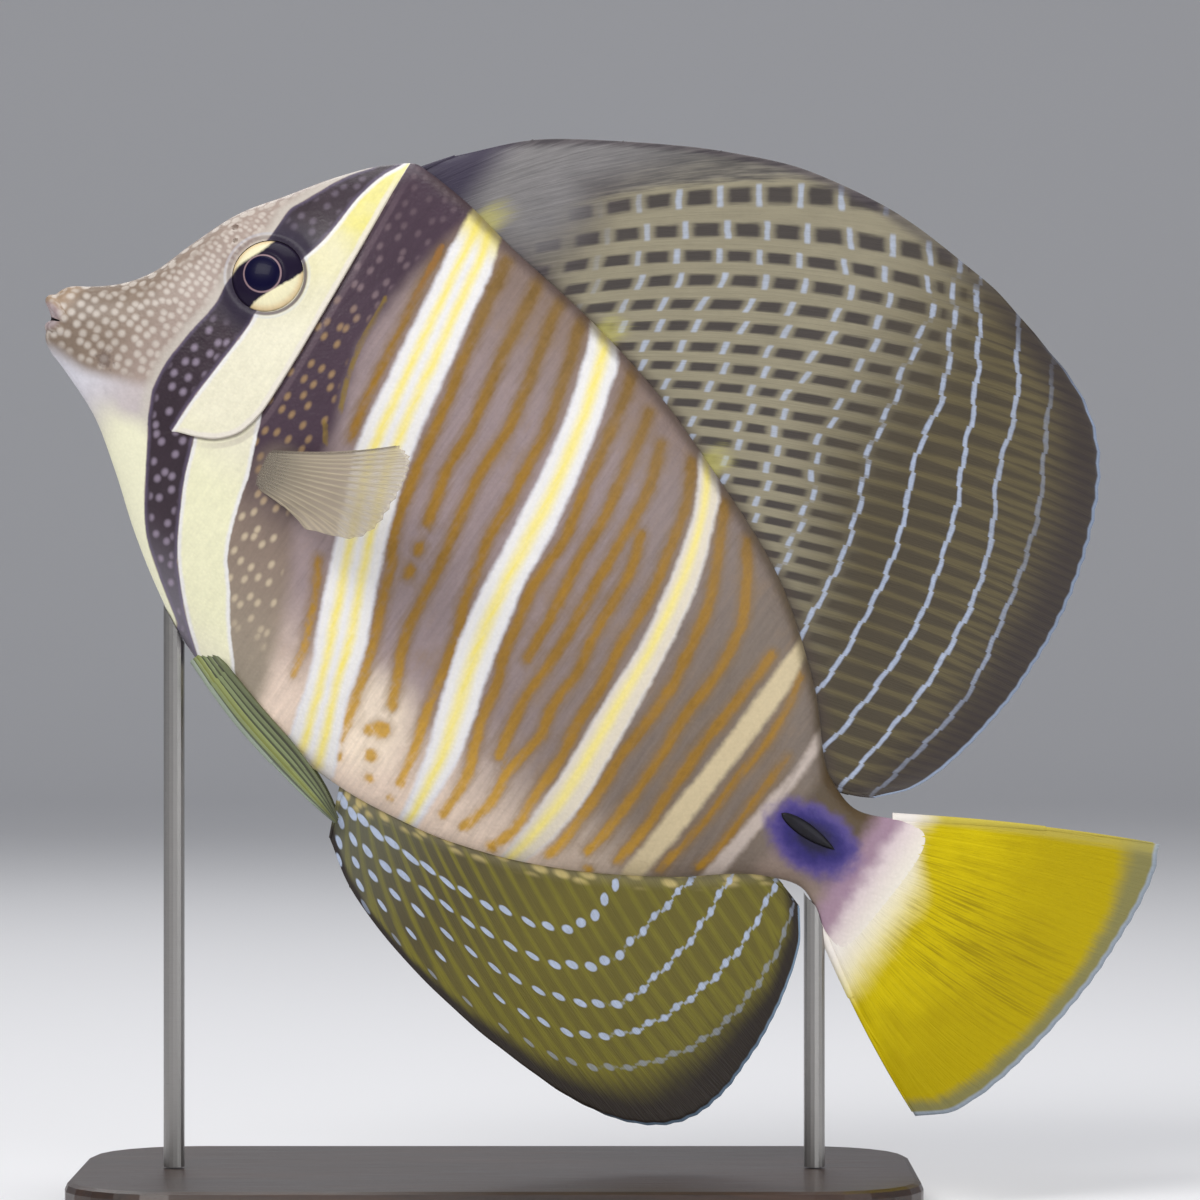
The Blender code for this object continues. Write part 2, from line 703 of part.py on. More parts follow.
def spine_shape(name, side, swell, parent):
    """A lancet that lies along the tail stalk, its point forward, swollen by that much."""
    sides, steps = 8, 9
    rings = []
    for k in range(1, steps):
        s = k / steps
        u = SPINE_U - SPINE_LENGTH / 2 + SPINE_LENGTH * s
        full = math.sin(math.pi * s ** 0.8) ** 0.75
        half_high = SPINE_HEIGHT / 2 * full + swell
        half_thick = SPINE_THICKNESS / 2 * (0.35 + 0.65 * full) + swell
        y = float(flank(u, SPINE_W)) + SPINE_PROUD - SPINE_THICKNESS / 2
        rings.append([
            (u, side * (y + half_thick * math.sin(a)), SPINE_W + half_high * math.cos(a))
            for a in (2 * math.pi * j / sides for j in range(sides))
        ])
    front_u, rear_u = SPINE_U - SPINE_LENGTH / 2 - swell, SPINE_U + SPINE_LENGTH / 2 + swell
    tips = [
        (u, side * (float(flank(u, SPINE_W)) + SPINE_PROUD - SPINE_THICKNESS / 2), SPINE_W)
        for u in (front_u, rear_u)
    ]
    points, faces = ring_grid(rings, *tips)
    return face_outwards(new_object(name, points, faces, parent))


# Stand


def stand_base():
    """A flat plate with round corners and a small bevel round its top."""
    shape = bmesh.new()
    corners = 7
    outline = []
    half_x, half_y = BASE_LENGTH / 2 - BASE_CORNER, BASE_WIDTH / 2 - BASE_CORNER
    for quarter, (sx, sy) in enumerate([(1, 1), (-1, 1), (-1, -1), (1, -1)]):
        for k in range(corners):
            a = math.pi / 2 * (quarter + k / (corners - 1))
            x = BASE_X + sx * half_x + BASE_CORNER * math.cos(a)
            outline.append(shape.verts.new(Vector((x, sy * half_y + BASE_CORNER * math.sin(a), 0)) * MM))
    floor_face = shape.faces.new(outline)
    raised = bmesh.ops.extrude_face_region(shape, geom=[floor_face])["geom"]
    top = [g for g in raised if isinstance(g, bmesh.types.BMVert)]
    bmesh.ops.translate(shape, vec=(0, 0, BASE_HEIGHT * MM), verts=top)
    rim = [e for e in shape.edges if all(v.co.z > BASE_HEIGHT * MM / 2 for v in e.verts)]
    bmesh.ops.bevel(shape, geom=rim, offset=BASE_BEVEL * MM, segments=2, profile=0.5, affect="EDGES")
    bmesh.ops.recalc_face_normals(shape, faces=shape.faces)
    mesh = bpy.data.meshes.new("stand_base")
    shape.to_mesh(mesh)
    shape.free()
    obj = bpy.data.objects.new("stand_base", mesh)
    bpy.context.scene.collection.objects.link(obj)
    return obj


def row_place(u, w):
    """X and Z over the base of a point on the fish's middle plane, in millimetres."""
    return (
        SNOUT_X + u * math.cos(PITCH) + w * math.sin(PITCH),
        SNOUT_Z - u * math.sin(PITCH) + w * math.cos(PITCH),
    )


def stand_rod(name, u, carried):
    """An upright rod from the base to the belly at u, its top cut to the body's shape."""
    x, top = row_place(u, float(belly(u)))
    bottom = BASE_HEIGHT + GAP
    height = top + ROD_SUNK - bottom
    shape = bmesh.new()
    bmesh.ops.create_cone(
        shape, cap_ends=True, segments=16, radius1=ROD_RADIUS * MM, radius2=ROD_RADIUS * MM, depth=height * MM
    )
    bmesh.ops.translate(shape, vec=Vector((x, 0, bottom + height / 2)) * MM, verts=shape.verts)
    mesh = bpy.data.meshes.new(name)
    shape.to_mesh(mesh)
    shape.free()
    rod = bpy.data.objects.new(name, mesh)
    bpy.context.scene.collection.objects.link(rod)
    boolean(rod, [carried], "DIFFERENCE")
    return keep_largest(rod)


def paint(obj, colour, roughness=0.5, metallic=0.0):
    material = bpy.data.materials.new(obj.name)
    material.use_nodes = True
    shader = material.node_tree.nodes["Principled BSDF"]
    shader.inputs["Base Color"].default_value = (*colour, 1.0)
    shader.inputs["Roughness"].default_value = roughness
    shader.inputs["Metallic"].default_value = metallic
    obj.data.materials.clear()
    obj.data.materials.append(material)


def cut_pieces(body, cuts, names):
    """Parts the body with knives and names its pieces from the snout back."""
    boolean(body, cuts, "DIFFERENCE")
    pieces = sorted(islands(body.data)[: len(names)], key=lambda piece: min(v.co.x for v in piece.verts))
    parts = []
    for name, piece in zip(names, pieces):
        mesh = bpy.data.meshes.new(name)
        piece.to_mesh(mesh)
        obj = bpy.data.objects.new(name, mesh)
        bpy.context.scene.collection.objects.link(obj)
        obj.parent = body.parent
        parts.append(obj)
    bpy.data.objects.remove(body)
    return parts


def part_body(pose):
    """Head, torso and tail stalk, with thin cuts between them. Only the head has the gill cover's relief."""
    upright_cut = [(TAIL_CUT, w) for w in (60, 20, -20, -60)]
    cheeks = whole_body("cheeks", pose, relief=gill_rise)
    head, behind = cut_pieces(cheeks, [knife(GILL_CUT, pose)], ("head", "behind"))
    bpy.data.objects.remove(behind)
    flanks = whole_body("flanks", pose)
    cuts = [knife(GILL_CUT, pose), knife(upright_cut, pose)]
    front, torso, stalk = cut_pieces(flanks, cuts, ("front", "torso", "tail_stalk"))
    bpy.data.objects.remove(front)
    return head, torso, stalk


def main():
    for obj in list(bpy.data.objects):
        bpy.data.objects.remove(obj)
    pose = bpy.data.objects.new("swimming_pose", None)
    bpy.context.scene.collection.objects.link(pose)
    pose.location = Vector((SNOUT_X, 0, SNOUT_Z)) * MM
    pose.rotation_euler = (0, PITCH, 0)

    head, torso, stalk = part_body(pose)
    finish_head(head, pose)
    grooves = [spine_shape("groove", side, GAP, pose) for side in (-1, 1)]
    boolean(stalk, grooves, "DIFFERENCE")
    keep_largest(stalk)
    made = {"head": head, "torso": torso, "tail_stalk": stalk}

    made["dorsal_fin"] = sail_fin("dorsal_fin", DORSAL, 1, pose)
    made["anal_fin"] = sail_fin("anal_fin", ANAL, -1, pose)
    made["tail_fin"] = tail_fin(pose)
    for side, word in ((-1, "left"), (1, "right")):
        for kind, build in (("pectoral_fin", pectoral_fin), ("pelvic_fin", pelvic_fin)):
            blade = build(side, f"{kind}_{word}", pose)
            boolean(blade, [whole_body("body_room", pose, GAP)], "DIFFERENCE")
            made[f"{kind}_{word}"] = keep_largest(blade)
        made[f"eye_{word}"] = eyeball(f"eye_{word}", side, 0.0, pose)
        made[f"tail_spine_{word}"] = spine_shape(f"tail_spine_{word}", side, 0.0, pose)

    made["stand_base"] = stand_base()
    made["stand_rod_front"] = stand_rod("stand_rod_front", FRONT_ROD_U, whole_body("body_room", pose, GAP))
    made["stand_rod_rear"] = stand_rod("stand_rod_rear", REAR_ROD_U, whole_body("body_room", pose, GAP))

    for name, obj in made.items():
        kind = next(k for k in COLOURS if name.startswith(k))
        metal = 1.0 if kind == "stand_rod" else 0.0
        gloss = {"eye": 0.1, "stand_rod": 0.3, "stand_base": 0.45}.get(kind, 0.5)
        paint(obj, COLOURS[kind], gloss, metal)
        shade_round(obj)


main()
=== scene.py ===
"""Sailfin tang, nose up over its display stand: skin, fins, eyes, tail spines, stand finishes and stage.

The fish is drawn in its own frame, in millimetres: u runs back from the snout along the body's axis,
y across the body and w up. The same frame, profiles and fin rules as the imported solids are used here.
"""

import math

import bmesh
import bpy
import numpy as np
from mathutils import Matrix, Vector


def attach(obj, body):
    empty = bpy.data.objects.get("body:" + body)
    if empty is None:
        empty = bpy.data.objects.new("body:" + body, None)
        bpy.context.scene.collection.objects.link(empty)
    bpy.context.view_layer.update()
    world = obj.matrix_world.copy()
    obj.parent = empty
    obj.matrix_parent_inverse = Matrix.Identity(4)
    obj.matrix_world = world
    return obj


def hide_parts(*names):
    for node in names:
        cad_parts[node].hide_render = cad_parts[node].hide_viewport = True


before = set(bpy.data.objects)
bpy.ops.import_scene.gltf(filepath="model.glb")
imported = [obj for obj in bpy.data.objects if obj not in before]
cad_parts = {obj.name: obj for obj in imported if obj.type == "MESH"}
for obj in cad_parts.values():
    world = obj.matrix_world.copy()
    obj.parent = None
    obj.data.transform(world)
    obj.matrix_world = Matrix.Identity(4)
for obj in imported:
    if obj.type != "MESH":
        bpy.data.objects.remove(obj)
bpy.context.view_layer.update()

bl_info = {
    "name": "Sailfin tang",
    "version": (1, 0, 0),
    "blender": (4, 5, 0),
    "location": "3D View > Sidebar > Tang",
    "description": "Dresses the sailfin tang model with its skin, fins, eyes, stand finishes and stage",
    "category": "Object",
}

MM = 0.001
ROOT = "root"
SIDES = ((-1, "left"), (1, "right"))

# Pose of the fish's frame over the base
PITCH = math.radians(34.5)
SNOUT_X = -111.3
SNOUT_Z = 180.0

# Side outline of the body: distance behind the snout, height over the axis
BACK_LINE = [
    (0.0, 1.8), (0.5, 4.3), (1.6, 6.2), (5, 8.6), (10, 12.8), (14, 18.5), (17, 27), (21, 36.8), (27, 45.6),
    (34, 55.4), (40, 62), (46, 65.9), (56, 65.3), (70, 62.8), (90, 60), (110, 55.5), (130, 48.3),
    (150, 39.5), (170, 24.5), (183, 11.4), (190, 9.2), (199, 12.4),
]
BELLY_LINE = [
    (0.0, 1.8), (0.8, 0.4), (2.5, -1.5), (3.1, -4.2), (5, -6.1), (10, -7.9), (20, -12), (30, -18.8),
    (40, -26.6), (50, -33.3), (60, -38.8), (70, -42.3), (84, -45), (102, -45.5), (120, -43.6),
    (135, -39.6), (150, -33.2), (167, -23.2), (183, -12), (190, -9.8), (199, -14.2),
]
# Half of the body's width, and how blunt the lens of its section is
HALF_WIDTH = [
    (0, 0.0), (0.8, 1.7), (2.5, 2.7), (5, 3.6), (10, 5.1), (20, 8.0), (30, 10.8), (40, 13.2), (50, 14.9),
    (62, 15.8), (78, 15.8), (100, 14.7), (125, 12.1), (150, 8.8), (170, 6.3), (184, 4.9), (192, 3.8),
    (199, 2.3),
]
SECTION_POWER = [(0, 0.5), (20, 0.54), (50, 0.62), (150, 0.62), (180, 0.52), (199, 0.5)]
KEEL_HALF_WIDTH = [(0, 0.0), (3, 0.3), (20, 0.7), (44, 1.1), (199, 1.1)]
BODY_END = 199.0

# Gill opening, from the nape down and forward under the throat
GILL_LINE = [
    (42.6, 78), (44.2, 62), (46, 46), (47.4, 30), (48.3, 17), (48.6, 8.5), (47.6, 2.8), (44.2, -1.8),
    (40.2, -4.0), (36, -5.6), (31, -12), (26, -28),
]
GILL_RISE = 0.6
GILL_REACH = 6.5
GILL_GROOVE = 0.14
GILL_GROOVE_REACH = 1.1
GILL_U = 48.6
GILL_TOLERANCE = 0.04
ORBIT_RADIUS, ORBIT_WIDTH, ORBIT_RISE = 8.5, 0.9, 0.5

# Eye and nostrils
EYE_U, EYE_W = 34.0, 30.4
EYE_RADIUS = 7.8
EYE_DEPTH = 4.4
EYE_PROUD = 2.6
LENS_BULGE = 0.28
IRIS_DIP = 0.16
# How much smaller the ball is than the eye's opening, and how much wider and deeper the socket
EYE_GAP, SOCKET_GAP, SOCKET_DEPTH = 0.04, 0.12, 0.1
PUPIL_U, PUPIL_W = 32.95, 30.15
NOSTRILS = [(22.6, 34.8, 0.75), (24.4, 32.6, 0.6)]

# Lips and mouth
UPPER_LIP = {"front": (0.35, 1.9), "end": (5.2, 0.4), "end_y": 3.1, "radius": 1.35}
LOWER_LIP = {"front": (3.1, -2.5), "end": (6.0, -1.7), "end_y": 3.0, "radius": 1.2}
MOUTH_SLIT = {
    "front": (-3.0, -3.1), "end": (4.1, -0.45), "front_gap": 2.1, "end_gap": 0.3, "wall_u": 1.9, "wall_y": 0.6,
    "reach": 9.0,
}
SNOUT_CENTRE = (9.0, -1.1)

# The skin's sections: the first one behind the snout, close ones behind the gill opening, and the trunk's
FIRST_SECTION = 9.0
HEAD_SECTIONS = 73
GILL_SECTIONS = [48.68, 48.95, 49.4, 50.0]
TRUNK_START = 50.8
SNOUT_ROWS = 58
SNOUT_REACH = 18.0
# How far the gill opening bends the sections before and behind it, and how far back the bend fades
BEND_AHEAD, BEND_BEHIND, BEND_RUN = 26.0, 0.5, 60.0
# The skin's end inside the root of the tail fin: its length, and how thin, high and low it gets
STALK_END = {"rings": 8, "length": 8.5, "thinner": 0.72, "higher": 0.22, "lower": 0.3}

# Fins, by the same rules as the solids
DORSAL = {
    "rays": 34,
    "sway": 1.8,
    "roots": [
        (0, 46.0), (4, 62.5), (8, 84.7), (12, 104.5), (16, 122.4), (20, 139.3), (24, 154.7), (28, 168.5), (33, 183),
    ],
    "tips": [
        (46, 50.3, 71.6), (50, 61.5, 83.2), (54, 77, 93.4), (58, 94, 102.7), (62, 111, 109.3), (66.5, 131, 112.2),
        (71.5, 150, 111.2), (80, 167.5, 107.4), (88, 179.5, 103.6), (96, 187.5, 98.4), (105, 193.3, 91.2),
        (115, 197.5, 82.6), (125, 200.4, 74.5), (135, 202.4, 66), (145, 203.5, 57), (155, 203.7, 47.5),
        (165, 202.7, 37.5), (173, 200.8, 28), (179, 197.6, 19.6), (183, 192.4, 13.6),
    ],
    "angles": [
        (46, 60), (54, 57), (62, 52), (71.5, 47), (80, 45), (88, 41), (105, 34), (125, 28), (145, 23.5),
        (165, 17), (175, 12), (183, 6),
    ],
    "spines": 4,
}
ANAL = {
    "rays": 27,
    "sway": 1.2,
    "roots": [(0, 103.0), (3, 108), (8, 121.5), (14, 143.5), (20, 164.5), (24, 176.5), (26, 182.5)],
    "tips": [
        (103, 107, -55.2), (104.5, 115.5, -60.8), (106, 127, -65.1), (108, 141, -68.3), (111, 157, -70.3),
        (115, 171.5, -70.8), (121, 183, -69.6), (128, 191.5, -66.6), (136, 197.3, -61.8), (144, 200.1, -56),
        (152, 201.2, -49), (160, 201.2, -42), (168, 200.4, -34), (175, 198.8, -26.5), (179.5, 196.4, -19.4),
        (182.5, 192.3, -13.4),
    ],
    "angles": [
        (103, -72), (106, -58), (110, -44), (116, -34), (130, -29), (150, -28), (165, -24), (176, -16), (182.5, -8),
    ],
    "spines": 2,
}
# How far each fin's roots are let into the skin
SAIL_SUNK, TAIL_SUNK, PECTORAL_SUNK = 1.2, 1.5, 2.6
TAIL_RAYS = 18
TAIL_SWAY = 1.6
TAIL_ROOT_HEIGHTS = [(0, 12.2), (17, -14.0)]
TAIL_TIPS = [
    (0, 244.6, 37.9), (1.5, 247.2, 32), (4, 248.6, 22), (7, 248.9, 11), (10, 248, -1), (12.5, 246.3, -12),
    (15, 243.8, -22.5), (16.2, 240.4, -30), (17, 235, -34.6),
]
TAIL_ANGLES = [(0, 33), (4, 21), (8, 4), (13, -18), (17, -35)]
PECTORAL_RAYS = 15
PECTORAL_ROOT = (55.2, -1.6)
PECTORAL_RISE = math.radians(16)
PECTORAL_SPREAD = math.radians(48)
PECTORAL_ROOT_SPAN = 6.4
PECTORAL_TIPS = [(0, 33, 12.6), (2.5, 38.5, 10.8), (6, 41, 5), (9, 39, -2), (12, 30, -7.6), (14, 16, -8.6)]
PECTORAL_CAMBER = 2.2
PELVIC_RAYS = 6
PELVIC_UPPER_EDGE = [(66, -37.2), (80, -41.2), (92, -44.3), (100, -47.3), (106.3, -50.9)]
PELVIC_LOWER_EDGE = [(64.5, -41.2), (80, -46.7), (92, -49.6), (100, -51.1), (106.6, -51.9)]
PELVIC_TOP_Y = 6.7
PELVIC_LEAN = 0.28
PELVIC_ROOT_IN = 2.9
PELVIC_ROOT_END = 71.0

# Tail spine, folded along the stalk
SPINE_U, SPINE_W = 184.8, 0.2
SPINE_LENGTH = 13.0
SPINE_HEIGHT = 3.0
SPINE_THICKNESS = 1.5
SPINE_PROUD = 0.75

# Markings of the flank, as lines of the side view from the back down
EYE_BAR_FRONT = [
    (38.2, 60), (35.6, 56.5), (34.1, 53.9), (32.6, 50.5), (30.9, 46.6), (29.6, 43), (29.8, 38.3), (29.1, 33),
    (28, 25), (28.5, 20), (27.5, 12), (27, 5), (27.5, 0), (29.5, -5), (32.5, -10), (35.5, -15), (38.5, -20),
    (43, -26), (50, -31.5), (58, -37),
]
EYE_BAR_REAR = [
    (43.2, 66), (42.5, 63.5), (41.1, 60.4), (40.1, 56.6), (39.5, 52.3), (39.3, 46), (39, 42.6), (37.8, 37),
    (36, 25), (36.5, 20), (36, 10), (35.5, 0), (35.6, -6),
]
EYE_BAR_REAR_LOW = [
    (37.5, 0), (40.3, -5), (43, -12), (46, -18), (50, -25), (55, -31), (60, -36), (63, -38.5), (66, -41),
]
CREAM_REAR_LOW = [
    (48.4, 8), (49.4, 5.5), (50.5, 3), (53, -3), (54.5, -8), (56, -13), (59, -20), (63, -25), (67, -31), (72, -37),
    (76, -42),
]
DARK_REAR = [
    (60, 66), (57.5, 52), (56.3, 40), (56.5, 30), (58.5, 22), (61, 15), (62.5, 9), (63, 3), (64.5, -4), (67, -10),
    (71, -17), (74, -24), (77, -32), (80, -42),
]
# Front and rear edge of each white bar, from the back down
BARS = {
    "bar_a": (
        [
            (59, 65), (60.3, 55), (62, 45), (63.5, 35), (65.2, 25), (67, 14.5), (72.5, 0), (76.5, -10),
            (80.6, -20), (85, -30), (87, -37), (88.5, -42),
        ],
        [
            (67, 65), (70.5, 55), (72.3, 45), (74.5, 35), (76.3, 25), (78.7, 15), (83.8, 0), (88, -10),
            (92.3, -20), (95, -30), (98, -37), (101, -44),
        ],
    ),
    "bar_b": (
        [
            (91, 60), (93.5, 55), (95.3, 50), (98.3, 40), (100.3, 30), (101.7, 20), (103, 10), (104.3, 0),
            (106.5, -10), (109.7, -20), (113, -30), (115.5, -41),
        ],
        [
            (98, 60), (101.5, 55), (103, 50), (105.8, 40), (108, 30), (109.7, 20), (110.7, 10), (112.6, 0),
            (115, -10), (118, -20), (120, -30), (120.5, -41),
        ],
    ),
    "bar_c": (
        [
            (124, 50), (127, 45), (129.5, 40), (132.5, 30), (134.5, 20), (136, 10), (136.3, 0), (137, -10),
            (137.6, -20), (137.5, -30), (136.8, -39),
        ],
        [
            (128, 51), (133, 45), (135, 40), (138.7, 30), (140.8, 20), (142.2, 10), (143.3, 0), (144.2, -10),
            (145, -20), (144, -30), (142, -38),
        ],
    ),
    "bar_d": (
        [(161.5, 30), (161, 20), (160.7, 10), (160.3, 0), (159.5, -10), (158.7, -27)],
        [(165, 30), (166, 20), (165.7, 10), (165, 0), (164.7, -10), (163, -27)],
    ),
    "bar_e": (
        [(175, 17), (175.3, 10), (174, 0), (173, -10), (172, -18)],
        [(178, 15), (177.8, 8), (177.3, 0), (176.5, -10), (176, -18)],
    ),
}

# Yellow streaks of the bars: their places across the bar, their half width, the bar's own colour if it isn't the
# plain white, and how strong they are
STREAKS = {
    "bar_a": ((0.32, 0.66), 0.13, None, 0.85),
    "bar_b": ((0.5,), 0.24, None, 0.85),
    "bar_c": ((0.42,), 0.22, (0.88, 0.84, 0.76), 0.75),
}
# Places of single marks: a smudge on the jaw, the lips, the painted shade round the breast fin's root and the patch
# round the tail spine
SMUDGE = (16.2, -1.6)
LIPS = (1.4, -0.9)
FIN_ROOT_SHADE = (57.5, 0.4)
TAIL_PATCH = (186.5, -0.4)
# Where the bars meet the dorsal fin
BAR_TOPS = ((64, 66.5), (96, 61), (128, 51))
# What sets the right side's pattern apart from the left one's
OTHER_SIDE = 311.0

# Orange lines between the bars, each from the back down
FAINT_LINES = (0, 1, 16, 17)
FAINT_LINE, FULL_LINE, DOT_RIM = 0.15, 0.45, 0.7
ORANGE_LINES = [
    [(59, 55), (62, 35), (64.5, 20), (66, 13)],
    [(74, -10), (77.5, -16), (80, -22), (81.5, -26), (83, -32)],
    [
        (71, 60), (73, 50), (75, 40), (77.5, 30), (79.3, 20), (81.5, 10), (84, 2), (86.5, -2.5), (89, -9),
        (92.5, -18), (95, -26), (96.8, -33), (97.5, -37),
    ],
    [(78.5, 61), (79.5, 55), (81, 45), (83, 35), (84.5, 27), (85, 20), (87, 12), (88, 8)],
    [(89.3, 3.5), (89.6, 2.5)],
    [(90.3, -1.5), (90.6, -2.6)],
    [
        (84.5, 59.5), (84.8, 57), (86.5, 50), (88.5, 42), (90.5, 32), (91, 22), (92, 15), (93.5, 8), (95, 0),
        (95.7, -5), (96.3, -10), (98, -16), (100, -20), (102.5, -26),
    ],
    [
        (90, 59), (90.8, 56), (93, 50), (95, 43), (97, 35), (98, 27), (99, 20), (99.5, 13), (101.5, 5), (102.5, 0),
        (104.5, -5), (106, -10), (107.8, -18), (109.5, -25), (111.5, -32), (112.5, -38),
    ],
    [
        (104, 57), (106, 50), (108, 40), (110.5, 27), (112, 20), (112, 12), (114, 0), (115, -5), (117, -10),
        (118.5, -17), (120.5, -23), (122.8, -30), (123, -38),
    ],
    [(111.5, 51), (113, 45), (114.5, 37), (116, 28), (116.5, 20), (118, 10), (119, 0), (119.3, -3)],
    [
        (117, 47), (119, 42), (120.5, 36), (121.5, 25), (122.8, 10), (123.5, 0), (123.3, -8), (124.5, -17),
        (125.5, -22),
    ],
    [
        (124, 30), (126, 24), (127, 16), (127.5, 8), (129, 0), (128.8, -8), (130, -14), (128.8, -24), (129.5, -30),
        (127.8, -38),
    ],
    [
        (124, 48), (128, 40), (130.5, 30), (132.5, 20), (133, 10), (134.5, 0), (134.8, -8), (136, -16), (136, -25),
        (136.5, -32), (134.5, -38),
    ],
    [
        (134, 45), (140, 33), (143.5, 24), (145, 15), (146, 8), (146, 0), (145.5, -10), (146, -17), (145.8, -27),
        (145, -33),
    ],
    [(142, 41), (148, 32), (151, 25), (152, 15), (151.5, 5), (152, -5), (152, -10), (151.8, -20), (151, -28)],
    [(159, 25), (158.5, 15), (158, 8), (157.5, 0), (157.5, -10), (157.8, -15), (157, -26)],
    [(166, 25), (167.5, 18), (168, 10), (167, 0), (166.8, -8), (166, -15), (164.8, -23)],
    [(173, 10), (172.5, -3), (172.2, -12), (171, -18)],
]
ORANGE_DOTS = [
    (103.5, -31, 2.0), (104.5, -36.5, 1.6), (107, -40.5, 1.2), (112.5, -41.5, 1.0), (99.5, -40.5, 1.2),
    (134.5, -38, 1.4), (153, -31, 1.2), (101.5, -32.5, 1.3), (96.5, -37.5, 1.0), (118.5, -41.5, 0.9),
]
YELLOW_LINES = [
    [(56, 40), (57, 30), (59, 22), (61.5, 16)],
    [(60, 13), (62.5, 9.5)],
]

# Rows of white-blue marks on the sail fins, from the rear forward, and from the belly out
DORSAL_ROWS = [
    [
        (176, 106.5), (187, 98), (193, 90.5), (198, 80), (201, 70), (203, 55), (203.2, 46), (202, 36), (199.5, 25),
        (196, 16),
    ],
    [(172, 106), (180, 91), (187, 78), (192, 62), (195, 47), (196, 40), (194, 25), (191.5, 13.5)],
    [(163, 106), (171, 94), (176, 80), (183, 67), (187, 52), (188, 38), (187, 25), (185.5, 11.5)],
    [(155, 104), (162, 93), (168, 80), (173, 70), (176.5, 59), (179, 50), (180, 40), (179, 20), (178.5, 17)],
    [(149, 104), (154.5, 94), (158, 87), (160, 75), (163, 68), (168, 55), (170, 43), (171, 27), (170.5, 24)],
    [(141, 107), (147, 99), (147.5, 93), (150.5, 80), (152, 70), (156.5, 60), (160, 47), (161.5, 32)],
    [(133.5, 104), (138, 96), (140.5, 88), (142, 78), (142.5, 66), (147.5, 56), (150.5, 41)],
    [(126, 100), (131.5, 91.5), (132.5, 79), (132.5, 68), (136, 60), (140, 48)],
    [(118, 96), (123, 88), (124.5, 76), (125.5, 70), (127.5, 62), (130, 52)],
    [(107, 98), (112.5, 90), (116.5, 82), (116.5, 74), (118, 68), (120, 56)],
    [(100, 94), (105, 87), (108.5, 80), (108.5, 72), (110.5, 64), (112, 56)],
    [(93, 90), (98, 82), (101.5, 75), (102.5, 68), (104, 60)],
    [(86, 86), (91, 79), (94.5, 72), (96, 65), (97, 60)],
    [(79, 82), (84, 75), (87, 69), (88.5, 62)],
]
ANAL_ROWS = [
    [
        (103, -47.5), (110, -48.5), (117, -49), (128, -49), (139.5, -48.5), (145, -47), (151, -46), (154.5, -44.5),
        (158, -41), (159.5, -36), (159, -30),
    ],
    [
        (106, -51), (116, -53.3), (128, -52.9), (135, -53.2), (142, -53), (148, -52.3), (155, -51.6), (160, -49.5),
        (164.5, -46.5), (167.7, -42), (168.8, -36), (171, -22),
    ],
    [
        (110, -55), (117, -56.5), (127, -57), (137, -57.5), (144, -58), (151.5, -57.5), (158, -56.7), (163, -55.3),
        (168, -53.3), (172, -51), (175, -47), (176.5, -40), (178, -30), (177.5, -18),
    ],
    [
        (115, -59), (126, -60.8), (136, -62), (145, -62.3), (154.5, -62.5), (161, -61.5), (166.5, -60.5),
        (172, -58.4), (177, -54.5), (180.5, -50), (183, -45), (186, -35), (187, -25), (185.5, -11),
    ],
    [
        (123, -63), (136, -65.6), (150, -66.8), (160, -66.6), (170, -65.3), (178, -62), (185, -56), (190, -49),
        (193.3, -40), (194, -30), (193, -20), (191, -14),
    ],
]

# Space beyond the outermost rows of marks, and the least space between two
ROW_SPACE = 8.0
LEAST_ROW_SPACE = 2.5

# Shape helpers


def smooth_curve(points, column=1):
    """A curve through the points that never overshoots between them, as a function of the first number."""
    x = np.array([p[0] for p in points], float)
    y = np.array([p[column] for p in points], float)
    step = np.diff(x)
    slope = np.diff(y) / step
    tangent = np.zeros_like(y)
    before, after = slope[:-1], slope[1:]
    same_way = before * after > 0
    near = 2 * step[1:] + step[:-1]
    far = step[1:] + 2 * step[:-1]
    shared = np.where(same_way, near / np.where(same_way, before, 1) + far / np.where(same_way, after, 1), 1)
    tangent[1:-1] = np.where(same_way, (near + far) / shared, 0.0)
    tangent[0], tangent[-1] = slope[0], slope[-1]

    def value(at):
        at = np.clip(np.asarray(at, float), x[0], x[-1])
        i = np.clip(np.searchsorted(x, at, side="right") - 1, 0, len(x) - 2)
        s = (at - x[i]) / step[i]
        return (
            (1 + 2 * s) * (1 - s) ** 2 * y[i] + s * (1 - s) ** 2 * step[i] * tangent[i]
            + s * s * (3 - 2 * s) * y[i + 1] + s * s * (s - 1) * step[i] * tangent[i + 1]
        )

    return value


def edge_at_height(line):
    """How far back a line of the side view is, as a function of the height."""
    return smooth_curve(sorted((w, u) for u, w in line))


back = smooth_curve(BACK_LINE)
belly = smooth_curve(BELLY_LINE)
half_width = smooth_curve(HALF_WIDTH)
section_power = smooth_curve(SECTION_POWER)
keel = smooth_curve(KEEL_HALF_WIDTH)
gill_u = edge_at_height(GILL_LINE)


def body_middle(u):
    return (back(u) + belly(u)) / 2


def body_half_height(u):
    return np.maximum((back(u) - belly(u)) / 2, 1e-6)


def flank(u, w):
    """Half of the body's width at that place of its side view."""
    v = np.clip((w - body_middle(u)) / body_half_height(u), -1, 1)
    return keel(u) + (half_width(u) - keel(u)) * (1 - v * v) ** section_power(u)


def ease(start, end, at):
    """Rises evenly from 0 at start to 1 at end, with soft ends."""
    t = np.clip((np.asarray(at, float) - start) / (end - start), 0.0, 1.0)
    return t * t * (3 - 2 * t)


